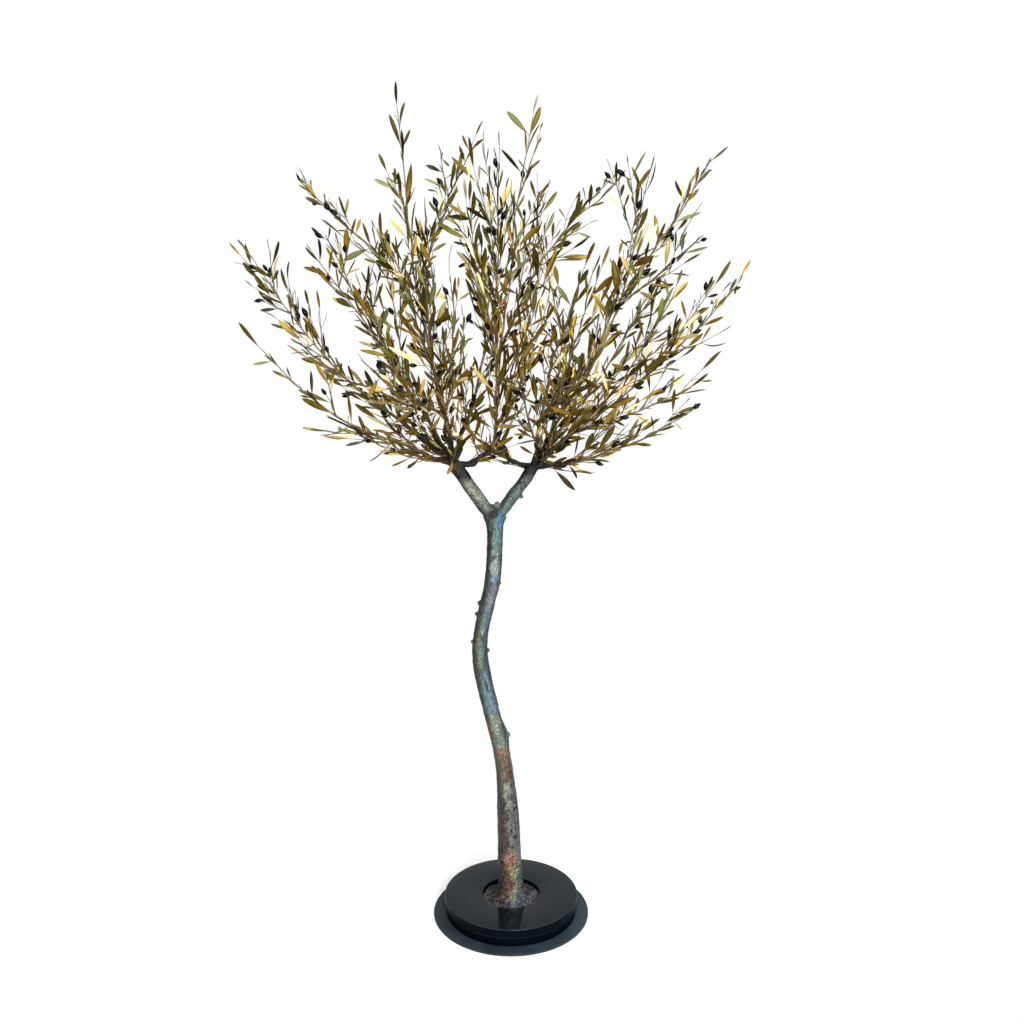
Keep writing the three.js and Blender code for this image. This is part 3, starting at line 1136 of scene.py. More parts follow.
# The patches of each pigment, from the foot up and then behind.
TRUNK_PATCHES = {
    Pigment.BRONZE: ((30, 250, 24, 44, 2), (100, 90, 80, 70)),
    Pigment.BLUE: (
        (36, 312, 24, 30, 2), (512, 290, 32, 26, 2.6), (690, 288, 24, 20, 2.4), (560, 70, 50, 50),
    ),
    Pigment.LIME: ((50, 285, 12, 16, 1.5), (80, 292, 24, 18, 2), (112, 300, 14, 14, 2.4)),
    Pigment.RED: ((85, 232, 40, 20, 2), (215, 248, 52, 10, 3), (348, 316, 26, 14, 2)),
    Pigment.MAGENTA: ((82, 262, 20, 13, 2.4),),
    Pigment.SLATE: (
        (100, 330, 40, 18, 2), (430, 326, 30, 12, 2), (555, 250, 20, 24), (582, 306, 18, 20, 2.6),
        (606, 322, 30, 16, 2), (642, 300, 18, 22, 2), (690, 322, 30, 14, 2), (300, 140, 60, 40),
    ),
    Pigment.TEAL: (
        (108, 316, 20, 9, 2), (515, 254, 34, 20, 1.6), (618, 276, 20, 18, 2.4), (682, 264, 18, 14, 2),
        (858, 290, 26, 26, 2.4), (892, 266, 14, 12, 2.6), (470, 100, 50, 70), (690, 90, 50, 60),
        (850, 90, 60, 80),
    ),
    Pigment.RUST: ((126, 255, 16, 26, 1.8), (446, 216, 16, 16, 5)),
    Pigment.COPPER: (
        (146, 276, 14, 30, 3), (394, 272, 10, 30, 3), (372, 304, 14, 16, 1.4), (160, 130, 40, 36),
        (385, 95, 35, 50),
    ),
    Pigment.LILAC: (
        (145, 328, 24, 14, 2), (752, 282, 16, 20, 2.4), (738, 300, 26, 11, 4), (765, 80, 30, 50),
    ),
    Pigment.STRAW: ((161, 284, 6, 20, 2), (467, 286, 12, 30, 3)),
    Pigment.SILVER: ((230, 296, 72, 36, 3), (270, 70, 60, 60)),
    Pigment.CHALK: (
        (292, 282, 24, 16, 4), (215, 272, 8, 12, 1.5), (336, 272, 8, 14, 1.2), (452, 272, 6, 12, 2),
        (722, 286, 16, 22, 1.4),
    ),
    Pigment.GREY: (
        (240, 330, 90, 20, 1.6), (475, 232, 14, 24, 1.8), (505, 222, 40, 20, 1.6),
        (736, 256, 32, 32, 2.6), (738, 326, 30, 12, 1.6), (820, 238, 30, 20, 2),
        (860, 244, 34, 18, 1.8), (900, 236, 22, 22, 2.6),
    ),
    Pigment.MOSS: ((220, 218, 90, 22, 2),),
    Pigment.BROWN: ((320, 248, 30, 12, 2), (358, 282, 34, 24, 2.4)),
    Pigment.OLIVE: (
        (292, 250, 20, 10, 2), (350, 238, 44, 24, 1.6), (592, 242, 40, 20, 2.4), (652, 240, 24, 20, 2),
        (682, 242, 20, 14, 1.4), (600, 130, 50, 50),
    ),
    Pigment.SAGE: ((424, 278, 26, 40, 2.6), (596, 270, 14, 12, 2)),
    Pigment.SKY: ((552, 296, 16, 14, 1.6), (776, 288, 9, 22, 5)),
    Pigment.TAN: ((632, 236, 14, 12, 3.4),),
    Pigment.PALE_TEAL: ((661, 266, 7, 16, 2), (800, 280, 16, 28, 4), (828, 286, 12, 20, 2)),
    Pigment.AZURE: ((772, 288, 5, 8, 5), (902, 296, 18, 22, 2.4)),
}



@dataclass
class Trunk:
    """Root flare, trunk, fork, boughs and limbs, cast as one skin with relief."""

    sides: int = 56
    row: float = 4 * MM
    voxel: float = 1.65 * MM
    foot_height: float = 0.05
    fork_height: float = 0.904
    head_height: float = 0.920
    bough_foot: float = 0.866
    bough_join: float = 0.925
    bough_girths: Triple = (14.2 * MM, 13.8 * MM, 13.4 * MM)
    slimmed: float = 0.19
    web_height: float = 0.919
    web_reach: float = 19 * MM
    web_radius: float = 12 * MM
    limb_radius: Pair = (8.0 * MM, 3.1 * MM)
    limb_crook: float = 8 * MM
    bough_stations: int = 40
    bough_sides: int = 28
    limb_sides: int = 16
    web_sides: int = 20
    stub_sides: int = 14
    rough_to: float = 0.19
    groove_depth: float = 1.7 * MM
    depth: float = 0.66
    vivid: float = 0.8
    plate: Patch = Patch(243, 292, 85, 46)
    eye: Patch = Patch(822, 272, 4, 12)
    slit: Patch = Patch(540, 285, 12, 8)
    # the hole oval, and the ring inside the wider knob oval but outside the knob, take painted shadow and a
    # shallow dent
    hole: Oval = Oval(-0.005, 0.911, 0.009, 0.008)
    round_knob: Oval = Oval(0.004, 0.930, 0.012, 0.013)
    knob: Oval = Oval(0.004, 0.932, 0.007, 0.008)
    stubs: tuple[Stub, ...] = (
        Stub(0.424, 5, 6 * MM, 5 * MM),
        Stub(0.610, 15, 5 * MM, 4 * MM),
        Stub(0.631, 190, 5 * MM, 4 * MM),
        Stub(0.692, 178, 5 * MM, 5 * MM),
        Stub(0.716, 172, 6 * MM, 4 * MM),
        Stub(0.762, 350, 4 * MM, 3 * MM),
        Stub(0.530, 120, 5 * MM, 4 * MM),
        Stub(0.680, 70, 5 * MM, 4 * MM),
    )
    pegs: tuple[Peg, ...] = (
        Peg(foot=(4, -6, 0), tip=(4, -20, 17), radius=6.6),
        Peg(foot=(-26, -2, 6), tip=(-36, -5, 4), radius=3.6),
        Peg(foot=(46, -2, 30), tip=(56, -5, 26), radius=3.6),
        Peg(foot=(52, -4, 58), tip=(54, -14, 62), radius=3.8),
    )
    finish: PatinaFinish = PatinaFinish()

    def __post_init__(self) -> None:
        """Read the rings, the boughs and the limbs."""
        self.levels, self.centres, self.spans = self.rings()
        self.boughs = {side: self.bough(side) for side in ("left", "right")}
        self.limbs = self.limb_lines()

    def rings(self) -> tuple[Array, Array, Array]:
        """Read the level rings of the trunk node.

        A ring is the vertices that share a height, and its radius is read off between their
        bearings.

        Returns:
            The heights, the centres, and the radii as ring by bearing.
        """
        points = np.unique(np.round(node_points("trunk"), 5), axis=0)
        heights, counts = np.unique(np.round(points[:, 2], 4), return_counts=True)
        levels = heights[counts >= 12]
        bearing = once_round(self.sides)
        centres, spans = [], []
        for level in levels:
            ring = points[np.abs(points[:, 2] - level) < 1e-4][:, :2]
            centre = 0.5 * (ring.min(0) + ring.max(0))
            out = ring - centre
            angle = np.arctan2(out[:, 1], out[:, 0])
            order = np.argsort(angle)
            radius = sizes(out)
            spans.append(np.interp(bearing, angle[order], radius[order], period=2 * np.pi))
            centres.append(centre)
        return levels, np.array(centres), np.array(spans)

    def foot(self) -> tuple[Array, float]:
        """Give the centre and the mean radius of the trunk a little above the ground."""
        girth = np.interp(self.foot_height, self.levels, self.spans.mean(1))
        return self.centre_at(np.array(self.foot_height)), float(girth)

    def centre_at(self, height: Array) -> Array:
        """Give the trunk's centre across and in depth at each height."""
        return np.stack([np.interp(height, self.levels, self.centres[:, k]) for k in range(2)], -1)

    def shaft(self) -> Skin:
        """Make the trunk's surface.

        A point is the ring's centre plus its radius turned to the bearing, both on the smooth curve
        through the rings. Below the fork it draws in, in depth, to the boughs' girth.

        Returns:
            The skin.
        """
        rows = int((self.fork_height - self.levels[0]) / self.row)
        height = np.linspace(self.levels[0], self.fork_height, rows)
        span = np.stack([self.between_rings(height, self.spans[:, k]) for k in range(self.sides)], -1)
        centre = np.stack([self.between_rings(height, self.centres[:, k]) for k in range(2)], -1)
        bearing = once_round(self.sides)[None]
        x = centre[:, 0, None] + span * np.cos(bearing)
        slim = 1.0 - self.slimmed * ease((height - self.fork_height) / 0.05 + 1.0)
        y = centre[:, 1, None] + slim[:, None] * span * np.sin(bearing)
        z = np.broadcast_to(height[:, None], x.shape)
        ends = np.column_stack([centre[[0, -1]], height[[0, -1]]])
        return closed(np.stack([x, y, z], -1)[None], ends[:1], ends[1:])

    def between_rings(self, height: Array, values: Array) -> Array:
        """Run a smooth curve through one value of the rings.

        It is the cubic whose slope at a ring is that between the rings on both sides of it.

        Args:
            height: Where the curve is read.
            values: One value for each ring.

        Returns:
            The value at each height.
        """
        slope = np.gradient(values, self.levels)
        k = np.clip(np.searchsorted(self.levels, height) - 1, 0, len(self.levels) - 2)
        gap = self.levels[k + 1] - self.levels[k]
        t = (height - self.levels[k]) / gap
        return (
            (2 * t**3 - 3 * t**2 + 1) * values[k]
            + (t**3 - 2 * t**2 + t) * gap * slope[k]
            + (3 * t**2 - 2 * t**3) * values[k + 1]
            + (t**3 - t**2) * gap * slope[k + 1]
        )

    def bough(self, side: str) -> tuple[Array, Array]:
        """Read one bough's line and radii, from inside the head to its end.

        The head hides the lowest slabs, so the line runs down from the third slab, straight against
        its way to the fifth.

        Args:
            side: The bough's side, left or right.

        Returns:
            The line, and the radius at each of its points.
        """
        head = np.append(self.centre_at(np.array(self.bough_foot)), self.bough_foot)
        line, radii = spine(f"bough_{side}", head, 6)
        back = (line[4] - line[2]) / (line[4, 2] - line[2, 2])
        low = [line[2] + back * (z - line[2, 2]) for z in (self.fork_height, self.bough_join)]
        end = line[-2] + 9 * MM * unit(line[-2] - line[-3])
        girth = np.array([*self.bough_girths, *(0.98 * radii[2:]), 0.94 * radii[-1]])
        return np.vstack([head, *low, line[2:-1], end]), girth

    def limb_lines(self) -> dict[str, Array]:
        """Read each limb's line, crooked a little between its ends.

        Returns:
            The lines by node, each from inside the nearer bough's end to the limb's end.
        """
        lines = {}
        ends = [line[-1] for line, _ in self.boughs.values()]
        for name in (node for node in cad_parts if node.startswith("limb_")):
            points = node_points(name)
            near = min(ends, key=lambda end: sizes(points - end).min())
            line, _ = spine(name, near, 4)
            rough = curve_through(np.vstack([near, line[1:]]), 14)
            side = shifts(rough, 0.02, 11)
            share = shares(len(rough))[:, None]
            lines[name] = rough + self.limb_crook * side * np.sin(np.pi * share)
        return lines

    def cast(self) -> bpy.types.Object:
        """Join every part and draw one skin over them.

        Returns:
            An object with a smooth even mesh.
        """
        parts = [self.shaft()]
        for line, radii in self.boughs.values():
            count = self.bough_stations
            girth = np.interp(shares(count), shares(len(radii)), radii)
            parts.append(tube(curve_through(line, count), girth, self.bough_sides))
        foot, end = self.limb_radius
        for line in self.limbs.values():
            share = shares(len(line))
            swell = 1.0 + 0.2 * noise(line, 0.011, 21)
            parts.append(tube(line, (foot + (end - foot) * share**0.7) * swell, self.limb_sides))
        parts.extend(self.stub(stub) for stub in self.stubs)
        parts.extend(self.fork_stubs())
        rough = joined(parts).object("rough_trunk")
        remesh = rough.modifiers.new("one_skin", "REMESH")
        remesh.mode = "VOXEL"
        remesh.voxel_size = self.voxel
        remesh.use_smooth_shade = True
        soften = rough.modifiers.new("soften", "SMOOTH")
        soften.factor = 0.5
        soften.iterations = 4
        view = bpy.context.evaluated_depsgraph_get()
        mesh = bpy.data.meshes.new_from_object(rough.evaluated_get(view))
        bpy.data.objects.remove(rough)
        mesh.name = "bronze_trunk"
        return put_in_scene(mesh.name, mesh)

    def stub(self, stub: Stub) -> Skin:
        """Make one cut stub on the trunk: a short tube that leans up, widest at its foot.

        Args:
            stub: The stub's place and size.

        Returns:
            The skin.
        """
        bearing = math.radians(stub.bearing)
        out = np.array((math.cos(bearing), math.sin(bearing), 0.0))
        centre = np.append(self.centre_at(np.array(stub.height)), stub.height)
        ring = self.between_rings(np.array([stub.height]), self.spans.mean(axis=1))[0]
        foot = centre + out * (ring - 5 * MM)
        tip = centre + out * (ring + stub.proud) + UP * 0.35 * stub.proud
        radii = stub.radius * np.linspace(1.1, 0.72, 5)
        return tube(np.linspace(foot, tip, 5), radii, self.stub_sides)

    def fork_stubs(self) -> list[Skin]:
        """Make the web in the fork, the cut stub on it and the small ones on the boughs.

        Returns:
            The skins.
        """
        head = np.append(self.centre_at(np.array(self.head_height)), self.head_height)
        across = np.array((self.web_reach, 0.0, 0.0))
        middle = head + UP * (self.web_height - head[2])
        web = np.linspace(middle - across, middle + across, 6)
        skins = [tube(web, self.web_radius, self.web_sides)]
        for peg in self.pegs:
            line = np.linspace(head + np.array(peg.foot) * MM, head + np.array(peg.tip) * MM, 5)
            skins.append(tube(line, peg.radius * MM, self.stub_sides))
        return skins

    def build(self) -> None:
        """Cast the trunk, raise its relief and brush its pigments on."""
        piece = self.cast()
        mesh = piece.data
        points = read_back(mesh.vertices, "co")
        # the crack mark holds the cracks and the painted shadow by the fork's knob
        raised, crack = self.relief(points, read_back(mesh.vertex_normals, "vector"))
        raised[:, 2] = np.maximum(raised[:, 2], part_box("trunk")[0].z)
        mesh.vertices.foreach_set("co", raised.astype(np.float32).ravel())
        rough = ease((self.rough_to - points[:, 2]) / 0.05)
        keep_marks(mesh, {"crack": crack, "rough": rough, "pigment": self.pigments(points)})
        mesh.update()
        stands_for = ["trunk", "bough_left", "bough_right", *self.limbs]
        finish_piece(piece, self.finish.material(), stands_for)

    def bearings(self, points: Array) -> Array:
        """Give each point's bearing in degrees about the trunk's centre at its height."""
        out = points[:, :2] - self.centre_at(points[:, 2])
        return np.degrees(np.arctan2(out[:, 1], out[:, 0])) % 360.0

    def sideways(self, points: Array) -> Array:
        """Tell how far each point lies to the left or right of its own middle line.

        On the shaft it is the cosine of the bearing. On a bough it is the distance across over the
        distance across and in depth.

        Args:
            points: The skin's points.

        Returns:
            Numbers from -1 at the left, through 0 in front or behind, to 1 at the right.
        """
        shaft = np.cos(np.radians(self.bearings(points)))
        left, right = (self.boughs[side][0] for side in ("left", "right"))
        nearer = np.where(
            points[:, 0] < self.centres[-1][0],
            points[:, 0] - np.interp(points[:, 2], left[:, 2], left[:, 0]),
            points[:, 0] - np.interp(points[:, 2], right[:, 2], right[:, 0]),
        )
        bough = nearer / np.maximum(np.hypot(nearer, points[:, 1]), 1 * MM)
        return np.where(points[:, 2] < self.fork_height + 0.008, shaft, bough)

    def relief(self, points: Array, normals: Array) -> tuple[Array, Array]:
        """Move points along their normals.

        The lift is slow lumps, grooves that follow the height, grit and cracks. A crack is a narrow
        valley where a noise crosses nought, deep on the plate of rough bark low on the front. The dark
        places, the cracks, pits, eye and slit, and the painted shadow under and round the fork's knob,
        are also sunk.

        Args:
            points: The smooth skin's points.
            normals: Their normals.

        Returns:
            The moved points, and how dark each point is, from 0 to 1: its cracks, pits, eye and slit,
            and the painted shadow under and round the fork's knob.
        """
        bearing = self.bearings(points)
        height = points[:, 2]
        lumps = fractal(points, 0.022, 41)
        grooves = fractal(points * (1.0, 1.0, 0.22), 0.009, 47)
        grit = fractal(points, 0.0045, 53)
        plate, eye, slit = (
            self.patch_weight(height, bearing, patch) for patch in (self.plate, self.eye, self.slit)
        )
        wander = 0.006 * shifts(points, 0.02, 61)
        broad = np.abs(noise(points * (1.0, 1.0, 0.45) + wander, 0.017, 67)) / 0.09
        narrow = np.abs(noise(points * (0.7, 0.7, 1.2) + wander, 0.0085, 69)) / 0.13
        pits = np.clip(2.4 * (fractal(points, 0.008, 71) - 0.25), 0.0, 1.0)
        crack = np.maximum(1.0 - ease(broad), 0.65 * (1.0 - ease(narrow))) * ease(2.2 * plate - 0.3)
        hole, round_knob, knob = (
            self.near_fork(points, oval) for oval in (self.hole, self.round_knob, self.knob)
        )
        # painted shadow: the hollow under the knob and a ring round the knob
        hollow = np.maximum(0.9 * hole, 0.7 * (round_knob - knob))
        dark = np.clip(crack + 1.6 * pits * plate + 0.6 * eye + 0.9 * slit + hollow, 0.0, 1.0)
        slim = ease((1.02 - height) / 0.06)
        foot = ease((self.rough_to - height) / 0.05)
        crumple = np.abs(fractal(points, 0.010, 57)) + 0.6 * fractal(points, 0.005, 59)
        lift = (0.0009 * lumps + 0.0008 * grooves + 0.0005 * grit) * (0.45 + 0.55 * slim)
        lift += 0.0016 * foot * crumple
        lift += plate * (0.0008 + 0.0007 * fractal(points, 0.006, 79)) - self.groove_depth * dark
        return points + normals * lift[:, None], dark

    def near_fork(self, points: Array, oval: Oval) -> Array:
        """Weigh an upright oval on the front of the fork, 1 in its middle and 0 outside.

        Args:
            points: The skin's points.
            oval: The oval.

        Returns:
            The weight at each point.
        """
        centre = self.centres[-1]
        aside = (points[:, 0] - centre[0] - oval.aside) / oval.half_wide
        above = (points[:, 2] - oval.height) / oval.half_tall
        return ease(1.6 - np.hypot(aside, above)) * (points[:, 1] < centre[1])

    def patch_weight(self, height: Array, bearing: Array, patch: Patch) -> Array:
        """Weigh a patch at each point: 1 in its middle, falling to 0 past its half sizes.

        Args:
            height: Each point's height.
            bearing: Each point's bearing in degrees.
            patch: The patch.

        Returns:
            The weight at each point.
        """
        turn = np.abs((bearing - patch.bearing + 180.0) % 360.0 - 180.0) / patch.wide
        rise = np.abs(height - patch.height * MM) / (patch.tall * MM)
        return ease(1.6 - np.hypot(turn, rise))

    def pigments(self, points: Array) -> Array:
        """Brush the pigments on.

        A point's colour is the mean of the patches on it, ragged by noise, and of a slow mix of
        teal, slate and olive, weighted by strength. It is then drawn towards grey, and given painted
        shade at both sides, more broadly at the left.

        Args:
            points: The skin's points.

        Returns:
            A colour for each point.
        """
        ragged = points + 0.007 * np.stack([fractal(points, 0.02, s) for s in (81, 82, 83)], -1)
        height = ragged[:, 2]
        foot = ease((0.2 - points[:, 2]) / 0.06)
        height = height + 0.02 * foot * fractal(points, 0.007, 85)
        turn = 26.0 * fractal(points, 0.016, 87) + 34.0 * foot * fractal(points, 0.006, 86)
        bearing = (self.bearings(points) + turn) % 360.0
        slow = fractal(points * (1.0, 1.0, 0.5), 0.05, 89)
        teal, slate = 0.30 * ease(0.5 + 1.6 * slow), 0.22 * ease(0.5 - 1.6 * slow)
        under = np.stack([teal, slate, np.full(len(points), 0.14)], -1)
        dyes = (Pigment.TEAL, Pigment.SLATE, Pigment.OLIVE)
        total = sum(under[:, k, None] * np.array(p.value) for k, p in enumerate(dyes))
        weight = under.sum(axis=1)
        on_shaft = ease((0.94 - height) / 0.03)
        for pigment, rows in TRUNK_PATCHES.items():
            for patch in (Patch(*row) for row in rows):
                w = on_shaft * patch.strength * self.patch_weight(height, bearing, patch)
                total = total + w[:, None] * np.array(pigment.value)
                weight = weight + w
        colour = self.bough_pigments(points, ragged, total / weight[:, None])
        grey = colour[:, :3].mean(axis=1, keepdims=True)
        # painted shade: darker towards the left and right sides of the trunk and boughs, most at the left
        turn = self.sideways(points) + 0.12 * fractal(points, 0.01, 97)
        shade = (1.0 - 0.45 * ease((-turn - 0.2) / 0.6)) * (1.0 - 0.25 * ease((turn - 0.75) / 0.25))
        tone = self.depth * shade * (1.0 + 0.25 * fractal(points, 0.006, 99))
        muted = grey + self.vivid * (colour[:, :3] - grey)
        colour[:, :3] = np.clip(tone[:, None] * muted, 0.0, 1.0)
        return colour

    def bough_pigments(self, points: Array, ragged: Array, colour: Array) -> Array:
        """Brush the boughs and the limbs: teal and tan below, umber from the junctions up.

        Args:
            points: The skin's points.
            ragged: The same points with a ragged shift.
            colour: The colour of each point so far.

        Returns:
            The new colours.
        """
        height = ragged[:, 2]
        above = ease((height - 0.915) / 0.02)
        left = ease((self.centres[-1][0] - ragged[:, 0]) / 0.012 + 0.5)
        red_spot = self.boughs["left"][0][-1] + (-0.02, 0.0, 0.0)
        low_left = ease(1.4 - sizes(points - red_spot) / 0.03)
        for weight, pigment in (
            (0.6 * above * (1 - left), Pigment.TEAL),
            (0.35 * above * (1 - left), Pigment.GREY),
            (0.6 * above * left, Pigment.SAGE),
            (0.35 * left * ease(1.5 - np.abs(height - 0.966) / 0.014), Pigment.TAN),
            (0.5 * left * ease(1.5 - np.abs(height - 0.954) / 0.012), Pigment.CHALK),
            (0.5 * ease((height - 0.962) / 0.012) * (1 - left), Pigment.MOSS),
            (0.97 * ease((height - 0.984 + 0.009 * left) / 0.014), Pigment.UMBER),
            (0.6 * low_left, Pigment.RED),
            (0.9 * self.near_fork(points, self.knob), Pigment.CHALK),
        ):
            colour = colour + weight[:, None] * (np.array(pigment.value) - colour)
        colour[:, 3] = 1.0
        return colour


# ---------------- crown


@dataclass
class Shoots:
    """Lines of stems with the same number of stations, and their thickness and rank."""

    lines: Array
    radii: Array
    along: Array

    def skin(self, sides: int) -> Skin:
        """Make the stems: tubes that swell a little at each leaf and crook.

        Args:
            sides: How many sides a stem has.

        Returns:
            The skin, which keeps the place along for each point.
        """
        swell = 1.0 + 0.22 * noise(self.lines, 0.009, 91)
        made = tubes(self.lines, self.radii * swell, sides)
        count = self.lines.shape[1]
        rings = np.repeat(self.along, sides, axis=1)
        ends = self.along[:, [0, count - 1]]
        made.marks["along"] = np.concatenate([rings, ends], axis=1).ravel()
        return made


@dataclass(frozen=True)
class LeafShape:
    """The outline and section of a leaf, and how it is laid on a shoot.

    Half the width is a thin stalk up to the neck, then the share past the neck to one power
    times what is left to another, made 1 at its greatest.
    """

    stations: tuple[float, ...] = (0.0, 0.12, 0.2, 0.32, 0.46, 0.6, 0.75, 0.9)
    neck: float = 0.12
    swell: float = 1.0
    point: float = 0.72
    stalk: float = 0.5 * MM
    thickness: float = 0.5 * MM
    # rib mark at a section's edge, upper rib, other edge and lower rib: a paler rib, and painted shade on
    # one half
    ribs: tuple[float, ...] = (0.0, 1.0, 0.3, 0.6)

    def half_widths(self, width: Array) -> Array:
        """Give half the width at each station of each leaf.

        Args:
            width: Each leaf's greatest width.

        Returns:
            Half widths, as leaf by station.
        """
        t = np.array(self.stations)
        u = np.clip((t - self.neck) / (1.0 - self.neck), 0.0, 1.0)
        peak = self.swell / (self.swell + self.point)
        top = peak**self.swell * (1.0 - peak) ** self.point
        outline = u**self.swell * (1.0 - u) ** self.point / top
        return np.maximum(0.5 * width[:, None] * outline, self.stalk)

    def skin(self, leaves: "LeafSet") -> Skin:
        """Make closed leaves, one for each row of the set.

        The middle line bends by the square of the share, and the cross direction twists by the
        share. A section has two edges, folded up, a rib above and a rib below.

        Args:
            leaves: Where the leaves are and how they are shaped.

        Returns:
            The skin.
        """
        t = np.array(self.stations)[None, :, None]
        over = np.cross(leaves.along, leaves.across)[:, None]
        along, across = leaves.along[:, None], leaves.across[:, None]
        length = leaves.length[:, None, None]
        bend = leaves.bend[:, None, None]
        middle = leaves.foot[:, None] + length * (t * along + bend * t**2 * over)
        tip = (leaves.foot[:, None] + length * (along + bend * over))[:, 0]
        turn = leaves.twist[:, None, None] * (t - 0.3)
        side = across * np.cos(turn) + over * np.sin(turn)
        face = over * np.cos(turn) - across * np.sin(turn)
        half = self.half_widths(leaves.width)[..., None]
        fold = leaves.fold[:, None, None] * half * face
        thick = np.minimum(self.thickness, half) * face
        edge = half * side
        grid = np.stack([middle + edge + fold, middle + thick, middle - edge + fold, middle - thick], 2)
        made = closed(grid, leaves.foot, tip)
        count = len(self.stations)
        places = np.concatenate([np.repeat(t.ravel(), 4), [0.0, 1.0]])
        made.marks["along"] = np.tile(places, len(leaves.foot))
        made.marks["rib"] = np.tile([*self.ribs * count, 0.5, 0.5], len(leaves.foot))
        made.marks["tone"] = np.repeat(leaves.tone, 4 * count + 2)
        made.marks["shade"] = np.repeat(leaves.shade, 4 * count + 2)
        return made


@dataclass
class LeafSet:
    """Foot, directions and sizes of many leaves, one a row."""

    foot: Array
    along: Array
    across: Array
    length: Array
    width: Array
    bend: Array
    twist: Array
    fold: Array
    tone: Array
    shade: Array
    kind: Array

    def dealt(self, hub: Array, reach: float) -> Array:
        """Deal each leaf one of the tones.

        Its random number is read against the tones' shares added up, which run from those within to
        those at the outside by the distance from the hub.

        Args:
            hub: The middle of the limbs' feet.
            reach: The distance from it at which a leaf is at the outside.

        Returns:
            The number of the tone of each leaf.
        """
        away = ease(sizes(self.foot - hub) / reach)[:, None]
        within, outside = np.array([(tone.within, tone.outside) for tone in LEAF_TONES]).T
        edges = np.cumsum((1.0 - away) * within + away * outside, axis=1)
        return np.minimum((self.kind[:, None] > edges).sum(axis=1), len(LEAF_TONES) - 1)

    @classmethod
    def joined(cls, sets: Sequence["LeafSet"]) -> "LeafSet":
        """Lay several sets end to end in one."""
        return cls(**{k: np.concatenate([getattr(s, k) for s in sets]) for k in cls.__annotations__})

    def picked(self, mask: Array) -> "LeafSet":
        """Keep the rows that the mask picks."""
        return LeafSet(**{k: v[mask] for k, v in self.__dict__.items()})


LEAF_TONES = (
    LeafFinish("olive_leaf", linear(79, 74, 21), linear(120, 96, 17), 0.35, 0.54),
    LeafFinish("bronze_leaf", linear(117, 98, 28), linear(151, 116, 27), 0.31, 0.14),
    LeafFinish("gold_leaf", linear(207, 190, 118), linear(191, 153, 64), 0.17, 0.04, 0.3, 0.36),
    LeafFinish("pale_leaf", linear(237, 230, 180), linear(205, 176, 94), 0.08, 0.06, 0.2, 0.4),
    LeafFinish("grey_leaf", linear(121, 120, 74), linear(96, 98, 36), 0.08, 0.21, 0.35, 0.42),
)


@dataclass(frozen=True)
class Sprig:
    """One listed side twig: the share along its stem, its heading and its length."""

    share: float
    heading: Triple
    length: float


